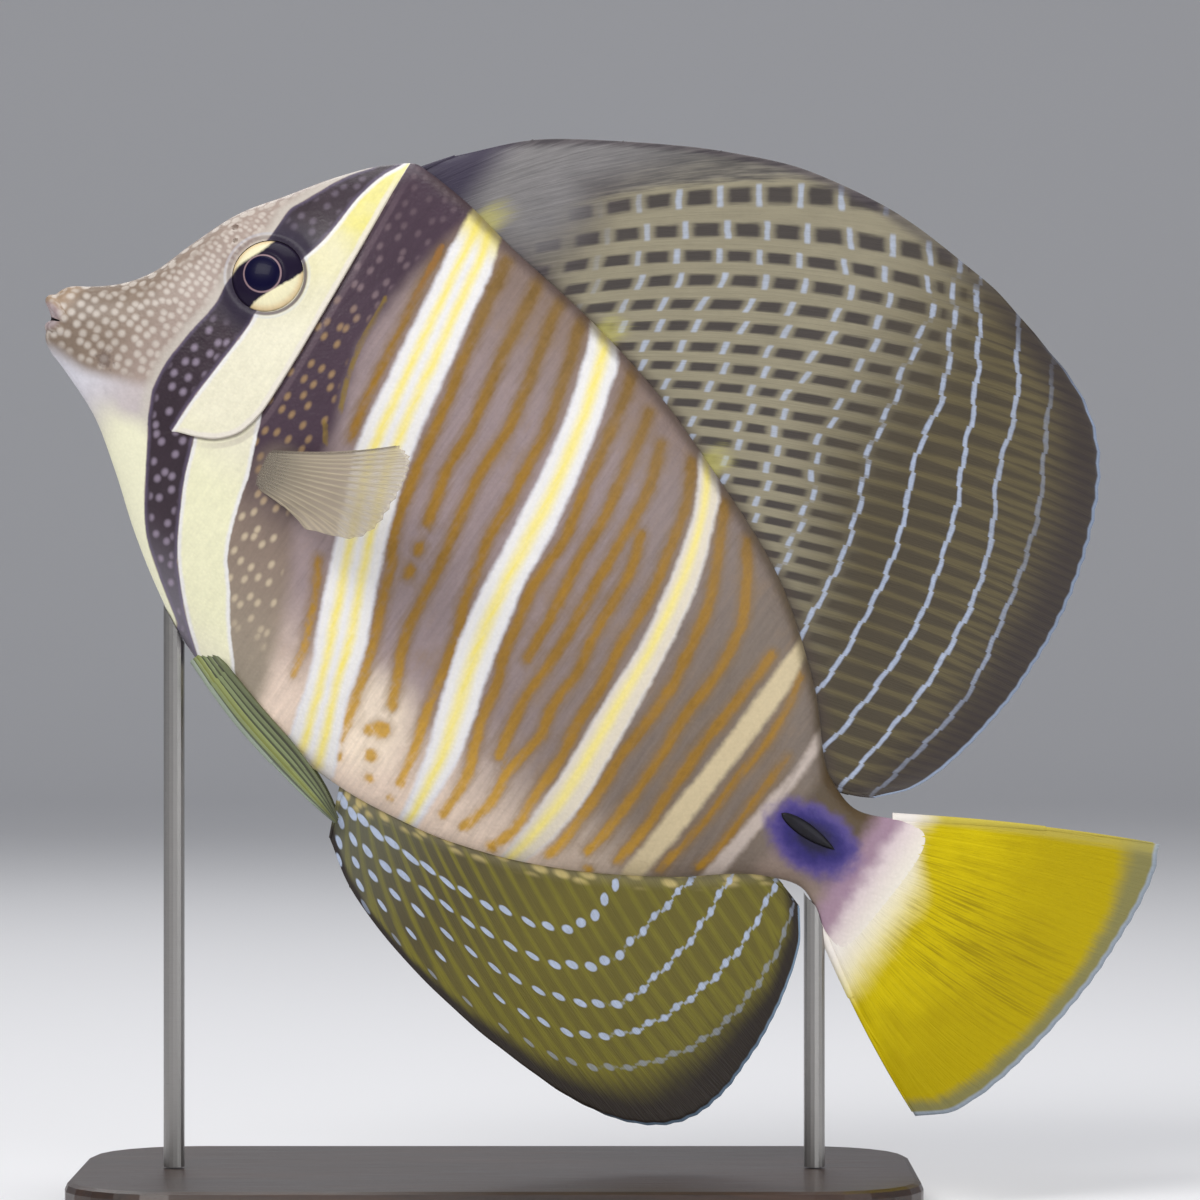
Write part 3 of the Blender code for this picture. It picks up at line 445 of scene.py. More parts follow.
def distance_to_line(line, u, w):
    """How far each point of the side view is from a line, in millimetres."""
    line = np.array(line, float)
    best = np.full(np.shape(u), 1e9)
    for (u0, w0), (u1, w1) in zip(line[:-1], line[1:]):
        run_u, run_w = u1 - u0, w1 - w0
        share = np.clip(((u - u0) * run_u + (w - w0) * run_w) / (run_u ** 2 + run_w ** 2), 0, 1)
        best = np.minimum(best, np.hypot(u - u0 - share * run_u, w - w0 - share * run_w))
    return best


def finer(line, spacing=1.2):
    """The same line of the side view with more points, rounded at its bends."""
    line = np.array(line, float)
    run = np.concatenate([[0], np.cumsum(np.hypot(*np.diff(line, axis=0).T))])
    if len(line) < 3:
        return line
    at = np.linspace(0, run[-1], max(int(run[-1] / spacing), 2))
    return np.stack([smooth_curve(list(zip(run, line[:, k])))(at) for k in (0, 1)], 1)


def run_lengths(steps):
    """Lengths from the start of each row, from the lengths of its steps."""
    return np.concatenate([np.zeros((len(steps), 1)), np.cumsum(steps, 1)], 1)


def cheek_normal(side, u, w, step=1.5):
    """The way that the cheek faces there."""
    along = (float(flank(u + step, w)) - float(flank(u - step, w))) / (2 * step)
    up = (float(flank(u, w + step)) - float(flank(u, w - step))) / (2 * step)
    return Vector((-along, side, -up)).normalized()


def to_row(points):
    """Points of the fish's frame in millimetres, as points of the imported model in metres."""
    points = np.asarray(points, float)
    u, y, w = points[..., 0], points[..., 1], points[..., 2]
    x = SNOUT_X + u * math.cos(PITCH) + w * math.sin(PITCH)
    z = SNOUT_Z - u * math.sin(PITCH) + w * math.cos(PITCH)
    return np.stack([x, y, z], -1) * MM


def to_fish(points):
    """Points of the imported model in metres, as points of the fish's frame in millimetres."""
    points = np.asarray(points, float) / MM
    x, y, z = points[..., 0] - SNOUT_X, points[..., 1], points[..., 2] - SNOUT_Z
    return np.stack([x * math.cos(PITCH) - z * math.sin(PITCH), y, x * math.sin(PITCH) + z * math.cos(PITCH)], -1)


def mesh_points(mesh):
    flat = np.empty(len(mesh.vertices) * 3, np.float32)
    mesh.vertices.foreach_get("co", flat)
    return flat.reshape(-1, 3).astype(float)


def add_values(mesh, name, values):
    """Stores one number, or one vector, for each point of the mesh."""
    values = np.asarray(values, np.float32)
    kind, key = ("FLOAT_VECTOR", "vector") if values.ndim == 2 else ("FLOAT", "value")
    mesh.attributes.new(name, kind, "POINT").data.foreach_set(key, values.ravel())


def add_object(name, data):
    """An object of the scene with that mesh, lamp or camera."""
    obj = bpy.data.objects.new(name, data)
    bpy.context.scene.collection.objects.link(obj)
    return obj


def new_object(name, points, faces, edges=()):
    """An object from points of the fish's frame."""
    mesh = bpy.data.meshes.new(name)
    mesh.from_pydata(to_row(points).tolist(), list(edges), faces)
    mesh.update()
    return add_object(name, mesh)


def face_outwards(obj):
    shape = bmesh.new()
    shape.from_mesh(obj.data)
    bmesh.ops.recalc_face_normals(shape, faces=shape.faces)
    if shape.calc_volume() < 0:
        bmesh.ops.reverse_faces(shape, faces=shape.faces)
    shape.to_mesh(obj.data)
    shape.free()
    return obj


def shade_round(obj, crease=40):
    obj.data.shade_smooth()
    obj.data.set_sharp_from_angle(angle=math.radians(crease))


def evaluated_mesh(obj):
    bpy.context.view_layer.update()
    return bpy.data.meshes.new_from_object(obj.evaluated_get(bpy.context.evaluated_depsgraph_get()))


def cut_away(obj, tools):
    """Cuts closed meshes out of obj and removes them."""
    group = bpy.data.collections.new(obj.name + "_cuts")
    bpy.context.scene.collection.children.link(group)
    for tool in tools:
        bpy.context.scene.collection.objects.unlink(tool)
        group.objects.link(tool)
    modifier = obj.modifiers.new("cut", "BOOLEAN")
    modifier.operation = "DIFFERENCE"
    modifier.operand_type = "COLLECTION"
    modifier.collection = group
    modifier.solver = "EXACT"
    result = evaluated_mesh(obj)
    obj.modifiers.clear()
    obj.data = result
    for tool in tools:
        bpy.data.objects.remove(tool)
    bpy.data.collections.remove(group)


def finish_piece(obj, nodes, material=None):
    """Gives a made piece its material and its body, and hides the imported nodes that it stands for."""
    if material:
        obj.data.materials.clear()
        obj.data.materials.append(material)
    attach(obj, ROOT)
    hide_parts(*nodes)


# Materials


# Sockets of a colour mix among those of its other kinds
MIX_A, MIX_B, MIX_RESULT = 6, 7, 2


def linear(colour):
    """A colour as a picker shows it, as the light it stands for."""
    return tuple(c / 12.92 if c <= 0.04045 else ((c + 0.055) / 1.055) ** 2.4 for c in colour[:3]) + (1.0,)


class Field:
    """A number or a vector over a surface, so that a pattern is written as a sum."""

    def __init__(self, paint, socket):
        self.paint = paint
        self.socket = socket

    def __add__(self, other):
        return self.paint.calc("ADD", self, other)

    def __sub__(self, other):
        return self.paint.calc("SUBTRACT", self, other)

    def __rsub__(self, other):
        return self.paint.calc("SUBTRACT", other, self)

    def __mul__(self, other):
        return self.paint.calc("MULTIPLY", self, other)

    def __abs__(self):
        return self.paint.calc("ABSOLUTE", self)

    __radd__ = __add__
    __rmul__ = __mul__


class Paint:
    """A material in the making."""

    def __init__(self, name, roughness=0.5, coat=0.0, coat_roughness=0.1, specular=0.5):
        self.material = bpy.data.materials.new(name)
        self.material.use_nodes = True
        self.nodes = self.material.node_tree.nodes
        self.links = self.material.node_tree.links
        self.shader = self.nodes["Principled BSDF"]
        self.set_shader("Roughness", roughness)
        self.set_shader("Coat Weight", coat)
        self.set_shader("Coat Roughness", coat_roughness)
        self.set_shader("Specular IOR Level", specular)
        self.carried = {}
        # The place on the model, in millimetres
        model = self.made("TexCoord", {}, "Object")
        self.place = self.made("VectorMath", {0: model, "Scale": 1 / MM}, operation="SCALE")

    def set_shader(self, name, value):
        self.feed(self.shader.inputs[name], value)

    def feed(self, socket, value):
        if isinstance(value, Field):
            self.links.new(value.socket, socket)
        elif isinstance(value, tuple):
            socket.default_value = value[: len(socket.default_value)]
        else:
            socket.default_value = value

    def made(self, kind, inputs, output=0, **options):
        """What a new node gives, with its options set and its inputs fed."""
        node = self.nodes.new("ShaderNode" + kind)
        for name, option in options.items():
            setattr(node, name, option)
        for key, value in inputs.items():
            self.feed(node.inputs[key], value)
        return Field(self, node.outputs[output])

    def calc(self, operation, a, b=0.0):
        return self.made("Math", {0: a, 1: b}, operation=operation)

    def highest(self, a, b):
        return self.calc("MAXIMUM", a, b)

    def distance(self, a, b):
        return self.calc("SQRT", a * a + b * b)

    def value(self, name, output="Fac"):
        """A number that the mesh carries."""
        if name not in self.carried:
            self.carried[name] = self.nodes.new("ShaderNodeAttribute")
            self.carried[name].attribute_name = name
        return Field(self, self.carried[name].outputs[output])

    def parts(self, vector):
        """The three numbers of a vector, or of a vector that the mesh carries."""
        if isinstance(vector, str):
            vector = self.value(vector, "Vector")
        node = self.nodes.new("ShaderNodeSeparateXYZ")
        self.feed(node.inputs[0], vector)
        return [Field(self, part) for part in node.outputs]

    def joined(self, a, b, c=0.0):
        return self.made("CombineXYZ", {0: a, 1: b, 2: c})

    def smooth(self, value, low, high, start=0.0, end=1.0):
        """Rises softly from start to end while the value goes from low to high."""
        inputs = dict(enumerate((value, low, high, start, end)))
        return self.made("MapRange", inputs, interpolation_type="SMOOTHSTEP")

    def noise(self, vector, size, detail=2.0, roughness=0.5):
        """Soft noise about 0, from -1 to 1, with marks of that size in millimetres."""
        inputs = {"Vector": vector, "Scale": 1.0 / size, "Detail": detail, "Roughness": roughness}
        return (self.made("TexNoise", inputs, "Fac") - 0.5) * 2.0

    def cells(self, vector, size, randomness, dimensions="3D", feature="F1"):
        """Distance to the nearest of scattered points, as a share of the space between them."""
        inputs = {"Vector": vector, "Scale": 1.0 / size, "Randomness": randomness}
        return self.made("TexVoronoi", inputs, "Distance", voronoi_dimensions=dimensions, feature=feature)

    def spots(self, vector, size, radius, randomness, soft):
        """Scattered round spots of a flat pattern: 1 inside, 0 outside."""
        return self.smooth(self.cells(vector, size, randomness, "2D"), radius + soft, radius - soft)

    def mix(self, factor, a, b):
        """From colour a to colour b."""
        a, b = (tone if isinstance(tone, Field) else linear(tone) for tone in (a, b))
        return self.made("Mix", {0: factor, MIX_A: a, MIX_B: b}, MIX_RESULT, data_type="RGBA", clamp_factor=True)

    def shade(self, colour, amount):
        """Lightens or darkens a colour by a number about 0."""
        colour = colour if isinstance(colour, Field) else linear(colour)
        return self.made("VectorMath", {0: colour, "Scale": amount + 1.0}, operation="SCALE")

    def bump(self, height, depth, under=None):
        """Relief of that depth in millimetres, on top of another."""
        inputs = {"Distance": depth * MM, "Strength": 1.0, "Height": height}
        return self.made("Bump", inputs | ({"Normal": under} if under else {}))

    def done(self, colour, normal=None, roughness=None):
        for name, value in (("Base Color", colour), ("Normal", normal), ("Roughness", roughness)):
            if value:
                self.set_shader(name, value)
        return self.material


# Sizes and colours that a user may change


def colour(name, description, value):
    return bpy.props.FloatVectorProperty(
        name=name, description=description, default=value, size=3, min=0.0, max=1.0, subtype="COLOR_GAMMA"
    )


class TangSkinSettings(bpy.types.PropertyGroup):
    side_points: bpy.props.IntProperty(
        name="Points down a side", description="Points of the skin from the back to the belly", default=120, min=40
    )
    ring_spacing: bpy.props.FloatProperty(
        name="Ring spacing", description="Space between the skin's sections on the flank", default=0.0011, min=0.0004,
        unit="LENGTH",
    )
    ground: colour("Ground", "Mauve-grey between the orange lines", (0.59, 0.52, 0.52))
    ground_rear: colour("Rear ground", "Browner grey towards the tail", (0.465, 0.41, 0.365))
    dark: colour("Dark bars", "Purple-brown of the eye bar and behind the gill cover", (0.27, 0.20, 0.25))
    orange: colour("Lines", "Golden brown lines along the flank", (0.60, 0.435, 0.07))
    white: colour("White bars", "White of the bars' edges", (0.92, 0.91, 0.90))
    yellow: colour("Yellow streaks", "Yellow inside the bars", (0.97, 0.90, 0.46))
    cream: colour("Cream", "Pale yellow behind the eye bar", (0.92, 0.90, 0.80))
    face: colour("Face", "Tan between the spots of the snout", (0.53, 0.46, 0.40))
    face_pale: colour("Pale face", "Pale lower jaw and throat", (0.84, 0.83, 0.86))
    spot: colour("Face spots", "Cream-white spots of the snout", (0.82, 0.78, 0.74))
    violet: colour("Tail patch", "Blue-violet round the tail spine", (0.16, 0.12, 0.42))


class TangFinSettings(bpy.types.PropertyGroup):
    ray_thickness: bpy.props.FloatProperty(
        name="Ray thickness", description="Thickness of the fin rays as a share of their natural one", default=1.0,
        min=0.3, max=2.0,
    )
    ray_sides: bpy.props.IntProperty(name="Ray sides", description="Faces round a ray", default=6, min=4)
    ray_colour: colour("Dorsal rays", "Pale olive-grey of the dorsal rays", (0.57, 0.54, 0.45))
    membrane: colour("Dorsal membrane", "Dark brown dashes between the rays", (0.26, 0.235, 0.22))
    mark: colour("Fin marks", "Blue-white marks and lines", (0.72, 0.77, 0.87))
    anal: colour("Anal fin", "Olive of the anal fin", (0.455, 0.425, 0.11))
    tail: colour("Tail fin", "Lemon yellow of the tail fin", (0.83, 0.745, 0.0))
    pectoral: colour("Pectoral fin", "Grey-cream of the breast fin", (0.75, 0.70, 0.62))
    pelvic: colour("Pelvic fin", "Olive-green of the belly fins", (0.50, 0.54, 0.38))


class TangEyeSettings(bpy.types.PropertyGroup):
    pupil_radius: bpy.props.FloatProperty(
        name="Pupil radius", description="Radius of the pupil", default=0.0035, min=0.001, unit="LENGTH"
    )
    pupil: colour("Pupil", "Near-black navy", (0.045, 0.035, 0.17))
    pupil_ring: colour("Pupil ring", "Thin pale ring round the pupil", (0.70, 0.58, 0.60))
    iris_pale: colour("Pale iris", "Cream ends of the iris", (0.94, 0.91, 0.76))
    iris_dark: colour("Dark iris", "Dark bar through the eye", (0.12, 0.09, 0.17))


class TangStageSettings(bpy.types.PropertyGroup):
    camera_distance: bpy.props.FloatProperty(
        name="Camera distance", description="From the fish's middle plane to the camera", default=1.1, min=0.4,
        unit="LENGTH",
    )
    floor: colour("Floor", "Pale floor and backdrop", (0.93, 0.93, 0.94))
    wood: colour("Base wood", "Dark stained wood of the base", (0.20, 0.12, 0.08))
    steel: colour("Rod steel", "Brushed steel of the rods", (0.62, 0.61, 0.60))


SETTINGS = {
    "tang_skin": TangSkinSettings, "tang_fins": TangFinSettings, "tang_eyes": TangEyeSettings,
    "tang_stage": TangStageSettings,
}

# Skin


def halved(low, high, beyond, steps=44):
    """Closes in on where beyond turns true between low and high."""
    for _ in range(steps):
        middle = (low + high) / 2
        over = beyond(middle)
        low, high = np.where(over, low, middle), np.where(over, middle, high)
    return (low + high) / 2


def bend_share(s):
    """How much of the bend a section takes: all at the gill opening, none at the snout and further back."""
    rising = np.clip((s - FIRST_SECTION) / (GILL_U - FIRST_SECTION), 0, 1)
    return np.where(s < GILL_U, rising, np.clip(1 - (s - GILL_U) / BEND_RUN, 0, 1))


def section_place(s, v):
    """Where the skin's point v of its bent section s lies along the body."""
    share = bend_share(s)

    def beyond(place):
        height = body_middle(place) + body_half_height(place) * v
        return place - s + (GILL_U - gill_u(height)) * share > 0

    return halved(s - BEND_AHEAD * share, s + BEND_BEHIND * share, beyond)


def gill_relief(u, w):
    """How far the gill cover's free edge lifts the cheek ahead of it, and the groove behind it."""
    near = distance_to_line(finer(GILL_LINE, 0.8), u, w)
    fade = ease(56, 42, w) * ease(34, 41, u)
    step = GILL_RISE * np.exp(-((near / GILL_REACH) ** 2))
    groove = -GILL_GROOVE * np.exp(-((near / GILL_GROOVE_REACH) ** 2))
    return np.where(u < gill_u(w) + GILL_TOLERANCE, step, groove) * fade


def orbit_relief(u, w):
    """A low soft rim round the eye."""
    away = np.hypot(u - EYE_U, w - EYE_W)
    return ORBIT_RISE * np.exp(-(((away - ORBIT_RADIUS) / ORBIT_WIDTH) ** 2))


def lip_path(lip, steps=24):
    """The bead of a jaw's lip from one corner of the mouth round the front to the other."""
    turn = np.pi * (np.linspace(0, 1, steps) - 0.5)
    back_share = 1 - np.cos(turn)
    (front_u, front_w), (end_u, end_w) = lip["front"], lip["end"]
    path = np.stack([
        front_u + (end_u - front_u) * back_share,
        lip["end_y"] * np.sin(turn),
        front_w + (end_w - front_w) * back_share,
    ], 1)
    return path, lip["radius"] * (0.62 + 0.38 * np.cos(turn))


def lip_reach(directions, lip, origin):
    """How far along each direction from the origin the lip's bead reaches."""
    path, radii = lip_path(lip)
    rise = path - origin
    along = directions @ rise.T
    off = (rise ** 2).sum(1)[None, :] - along ** 2
    return np.where(off < radii[None, :] ** 2, along + np.sqrt(np.maximum(radii[None, :] ** 2 - off, 0)), 0).max(1)


def soft_highest(a, b, blend):
    """The larger of two numbers, rounded where they are alike."""
    near = np.clip(1 - np.abs(a - b) / blend, 0, 1)
    return np.maximum(a, b) + near * near * blend / 4


def snout_rings(section, rows):
    """Rings from the tip of the snout back to the first section, with the lips' beads in the surface."""
    origin = np.array([SNOUT_CENTRE[0], 0.0, SNOUT_CENTRE[1]])
    outward = section - origin
    outward[:, 0] = 0
    outward /= np.linalg.norm(outward, axis=1)[:, None]
    turns = (np.linspace(0, 1, rows + 1)[:-1] ** 0.9) * np.pi / 2
    directions = (
        np.cos(turns)[:, None, None] * np.array([-1.0, 0, 0]) + np.sin(turns)[:, None, None] * outward[None]
    ).reshape(-1, 3)

    def outside(reach):
        u, y, w = (origin + directions * reach[:, None]).T
        return (u < 0) | (np.abs(y) > flank(u, w)) | (w > back(u)) | (w < belly(u))

    reach = halved(np.zeros(len(directions)), np.full(len(directions), SNOUT_REACH), outside)
    for lip in (UPPER_LIP, LOWER_LIP):
        reach = soft_highest(reach, lip_reach(directions, lip, origin), 0.5)
    rings = (origin + directions * reach[:, None]).reshape(rows, -1, 3)
    rings[0] = rings[0].mean(0)
    inner = rings[1:-1]
    for _ in range(2):
        inner[:] = inner * 0.6 + (rings[2:] + rings[:-2]) * 0.2
        inner[:] = inner * 0.6 + (np.roll(inner, 1, 1) + np.roll(inner, -1, 1)) * 0.2
    return rings


def skin_sections(spacing):
    """Places of the skin's sections, with close ones behind the gill opening."""
    head = np.linspace(FIRST_SECTION, GILL_U, HEAD_SECTIONS)
    trunk = np.linspace(TRUNK_START, BODY_END, int((BODY_END - TRUNK_START) / spacing))
    return np.concatenate([head, GILL_SECTIONS, trunk])


def tube_faces(count, per):
    """Faces of a closed tube: count rings of per points each, then its front and its rear end point."""
    j = np.arange(per)
    k = (j + 1) % per
    faces = []
    for row in per * np.arange(count - 1):
        faces += np.stack([row + j, row + k, row + per + k, row + per + j], 1).tolist()
    front, rear, last = count * per, count * per + 1, (count - 1) * per
    pairs = list(zip(j.tolist(), k.tolist()))
    return faces + [(b, a, front) for a, b in pairs] + [(last + a, last + b, rear) for a, b in pairs]


def stalk_end(last):
    """Rings from the skin's last section on, inside the root of the tail fin."""
    u, y, w = last.T
    length, thinner, higher, lower = (STALK_END[key] for key in ("length", "thinner", "higher", "lower"))
    rings = []
    for step in np.linspace(0, 1, STALK_END["rings"] + 1)[1:]:
        thin = 1 - thinner * step ** 1.2
        rings.append(np.stack([u + length * step, y * thin, w * (1 + higher * step) - lower * step], -1))
    return np.array(rings)


def skin_mesh(settings):
    """One skin over head, flank and tail stalk, its end let into the root of the tail fin."""
    v = np.sin(np.pi * (0.5 - np.arange(settings.side_points + 1) / settings.side_points))
    s, v_grid = np.meshgrid(skin_sections(settings.ring_spacing / MM), v, indexing="ij")
    u = section_place(s, v_grid)
    w = body_middle(u) + body_half_height(u) * v_grid
    relief = np.where(s > FIRST_SECTION + 0.01, gill_relief(u, w) + orbit_relief(u, w), 0.0)
    y = flank(u, w) + relief
    rings = np.concatenate([np.stack([u, -y, w], -1), np.stack([u, y, w], -1)[:, ::-1]], 1)
    snout = snout_rings(rings[0].copy(), SNOUT_ROWS)
    rings = np.concatenate([snout[1:], rings, stalk_end(rings[-1])], 0)
    points = np.concatenate([rings.reshape(-1, 3), snout[0][:1], rings[-1].mean(0)[None]])
    return points, tube_faces(*rings.shape[:2])


def ellipsoid(name, centre, radius, depth, axis, segments=64, rings=40):
    """A round body flattened to that depth, on either side, along its axis."""
    shape = bmesh.new()
    bmesh.ops.create_uvsphere(shape, u_segments=segments, v_segments=rings, radius=1.0)
    turned = Vector((0, 0, 1)).rotation_difference(Vector(axis)).to_matrix().to_4x4()
    placed = Matrix.Translation(Vector(centre)) @ turned @ Matrix.Diagonal((radius, radius, depth, 1.0))
    bmesh.ops.transform(shape, matrix=placed, verts=shape.verts)
    points = to_row([v.co[:] for v in shape.verts])
    for vert, point in zip(shape.verts, points):
        vert.co = point
    mesh = bpy.data.meshes.new(name)
    bmesh.ops.recalc_face_normals(shape, faces=shape.faces)
    shape.to_mesh(mesh)
    shape.free()
    return add_object(name, mesh)


def eye_place(side):
    outward = cheek_normal(side, EYE_U, EYE_W)
    on_cheek = Vector((EYE_U, side * float(flank(EYE_U, EYE_W)), EYE_W))
    return on_cheek + outward * (EYE_PROUD - EYE_DEPTH), outward


def mouth_slit():
    """The gap between the lips, cut from the front and from each side as far as a wall in the middle."""
    (u0, w0), (u1, w1) = MOUTH_SLIT["front"], MOUTH_SLIT["end"]
    g0, g1 = MOUTH_SLIT["front_gap"] / 2, MOUTH_SLIT["end_gap"] / 2
    wall_u, wall_y, reach = (MOUTH_SLIT[key] for key in ("wall_u", "wall_y", "reach"))
    share = (wall_u - u0) / (u1 - u0)
    wall_w, wall_g = w0 + (w1 - w0) * share, g0 + (g1 - g0) * share
    whole = [(u0, w0 + g0), (u0, w0 - g0), (u1, w1 - g1), (u1 + 0.2, w1), (u1, w1 + g1)]
    ahead = [(u0, w0 + g0), (u0, w0 - g0), (wall_u, wall_w - wall_g), (wall_u, wall_w + wall_g)]
    tools = []
    for side, inner, outer in ((ahead, -reach, reach), (whole, wall_y, reach), (whole, -reach, -wall_y)):
        count = len(side)
        points = [(u, y, w) for y in (inner, outer) for u, w in side]
        faces = [tuple(range(count)), tuple(reversed(range(count, 2 * count)))]
        faces += [(j, j + count, (j + 1) % count + count, (j + 1) % count) for j in range(count)]
        tools.append(face_outwards(new_object("mouth_slit", points, faces)))
    return tools


def skin_cuts():
    """Eye sockets, nostrils and the mouth."""
    tools = mouth_slit()
    for side, _ in SIDES:
        centre, outward = eye_place(side)
        tools.append(ellipsoid("socket", centre, EYE_RADIUS + SOCKET_GAP, EYE_DEPTH + SOCKET_DEPTH, outward, 96, 32))
        for u, w, radius in NOSTRILS:
            on_cheek = (u, side * (float(flank(u, w)) + 0.1), w)
            tools.append(ellipsoid("nostril", on_cheek, radius, radius * 1.3, cheek_normal(side, u, w), 16, 10))
    return tools


def slope_share(edge, w):
    """Turns a distance along the body into the distance square to an edge."""
    return 1 / np.hypot(1, (edge(w + 0.5) - edge(w - 0.5)))


def band(front, rear, u, w):
    """How far inside a bar each point is, in millimetres, negative outside."""
    front, rear = edge_at_height(front), edge_at_height(rear)
    return np.minimum((u - front(w)) * slope_share(front, w), (rear(w) - u) * slope_share(rear, w))


def girth(u, w):
    """Height on the flank, measured along the skin from its widest line, in millimetres."""
    end, half = 215, 100
    grid_u, grid_v = np.meshgrid(np.linspace(0, end, end + 1), np.linspace(-1, 1, 2 * half + 1), indexing="ij")
    grid_w = body_middle(grid_u) + body_half_height(grid_u) * grid_v
    length = run_lengths(np.hypot(np.diff(grid_w, axis=1), np.diff(flank(grid_u, grid_w), axis=1)))
    length -= length[:, half : half + 1]
    at_u = np.clip(u, 0, end - 0.1)
    at_v = (np.clip((w - body_middle(u)) / body_half_height(u), -1, 1) + 1) * half
    i, j = at_u.astype(int), np.minimum(at_v.astype(int), 2 * half - 1)
    a, b = at_u - i, at_v - j
    return (
        length[i, j] * (1 - a) * (1 - b) + length[i + 1, j] * a * (1 - b)
        + length[i, j + 1] * (1 - a) * b + length[i + 1, j + 1] * a * b
    )


def nearest_line(lines, u, w):
    """How far each point of the side view is from the nearest of the lines, each with its half width."""
    return np.min([distance_to_line(finer(line), u, w) - half for line, half in lines], 0)


def skin_values(mesh):
    """Stores on the skin what its material needs: where each point is among the markings and the places of painted
    shade.
    """
    fish = to_fish(mesh_points(mesh))
    u, y, w = fish.T
    ahead = (u < gill_u(w) + GILL_TOLERANCE) & (u < 50)
    bar_front, bar_rear, low_rear, cream_rear, dark_rear = (
        edge_at_height(line) for line in (EYE_BAR_FRONT, EYE_BAR_REAR, EYE_BAR_REAR_LOW, CREAM_REAR_LOW, DARK_REAR)
    )
    from_front = (u - bar_front(w)) * slope_share(bar_front, w)
    to_rear = np.where(
        ~ahead | (w < -6), (low_rear(w) - u) * slope_share(low_rear, w), (bar_rear(w) - u) * slope_share(bar_rear, w)
    )
    behind_room = np.where(w > 8.5, gill_u(w) - u, (cream_rear(w) - u) * slope_share(cream_rear, w))
    normals = np.empty(3 * len(u), np.float32)
    mesh.vertex_normals.foreach_get("vector", normals)
    slit = np.array([MOUTH_SLIT["front"], MOUTH_SLIT["end"]], float)
    over_u = u + np.where(y > 0, OTHER_SIDE, 0.0)
    carried = {
        "fish": np.stack([u, w, y], 1),
        "skin_map": np.stack([over_u, girth(u, w) + body_middle(u), np.zeros(len(u))], 1),
        "side_on": np.abs(normals[1::3]),
        "mouth": distance_to_line(slit, u, w),
        "eye_bar": np.minimum(from_front, to_rear),
        "face": -from_front,
        "cream": np.minimum(-to_rear, np.where(ahead, 9.0, behind_room)),
        "dark": np.minimum((dark_rear(w) - u) * slope_share(dark_rear, w), u - 40),
        "gill": np.where(ahead, -1, 1) * distance_to_line(finer(GILL_LINE, 0.8), u, w),
        "gill_cover": ease(64, 56, w) * ease(34, 39, u),
        "back_gap": back(u) - w,
        "yellow": nearest_line([(line, 0.0) for line in YELLOW_LINES], u, w),
    }
    lines = [(line, FAINT_LINE if k in FAINT_LINES else FULL_LINE) for k, line in enumerate(ORANGE_LINES)]
    dots = [np.hypot(u - dot_u, w - dot_w) - radius + DOT_RIM for dot_u, dot_w, radius in ORANGE_DOTS]
    carried["orange"] = np.minimum(nearest_line(lines, u, w), np.min(dots, 0))
    for name, edges in BARS.items():
        carried[name] = band(*edges, u, w)
    for name in STREAKS:
        first, last = (edge_at_height(line)(w) for line in BARS[name])
        carried[name + "_across"] = np.clip((u - first) / (last - first), -0.5, 1.5)
    for name, values in carried.items():
        add_values(mesh, name, values)


class FishPaint(Paint):
    """A material that knows its place in the fish's side view."""

    def __init__(self, name, **look):
        super().__init__(name, **look)
        self.u, self.w, self.across = self.parts("fish")

    def away(self, at_u, at_w, squeeze=1.0):
        """Distance in the side view from one place, in millimetres, of a round or a long spot."""
        return self.distance((self.u - at_u) * squeeze, self.w - at_w)


class SkinPaint(FishPaint):
    """The skin's material, with the fields that its patterns share."""

    def __init__(self, sizes):
        super().__init__("tang_skin", roughness=0.42, coat=0.16, coat_roughness=0.25, specular=0.3)
        self.sizes = sizes
        self.over_u, self.over_w, _ = self.parts("skin_map")
        self.soft = self.noise(self.place, 9.0, 3.0)
        self.fine = self.noise(self.place, 1.6, 3.0, 0.6)
        self.wobble = self.noise(self.place, 3.2, 2.0) * 0.45 + self.noise(self.place, 1.0, 1.0) * 0.15
        self.streaks = self.noise(self.joined(self.over_u, self.over_w * 0.10), 1.1, 3.0, 0.6)
        self.orbit = self.away(EYE_U - 0.2, EYE_W)
        self.by_eye = self.smooth(self.orbit + self.soft * 1.5, 15, 8.5)


def flank_ground(p):
    """Ground of the flank, browner on the back and at the rear, pinkish on the belly."""
    u, w, soft = p.u, p.w, p.soft
    tone = p.mix(p.smooth(u, 100, 160), p.sizes.ground, p.sizes.ground_rear)
    tone = p.mix(p.smooth(w + soft * 4.0, -14, -42) * p.smooth(u, 178, 150) * 0.9, tone, (0.95, 0.86, 0.78))
    tone = p.mix(p.smooth(p.away(100, -32) + soft * 3.0, 14, 5) * 0.6, tone, (1.0, 0.93, 0.83))
    tone = p.mix(p.smooth(w, 30, 60) * p.smooth(u, 150, 105) * 0.7, tone, (0.50, 0.42, 0.36))
    tone = p.mix(p.smooth(soft + p.streaks * 0.6, 0.0, 0.8) * p.smooth(w, -38, -22) * 0.6, tone, (0.50, 0.41, 0.31))
    return p.shade(tone, p.streaks * 0.24 + soft * 0.12 + p.fine * 0.07)


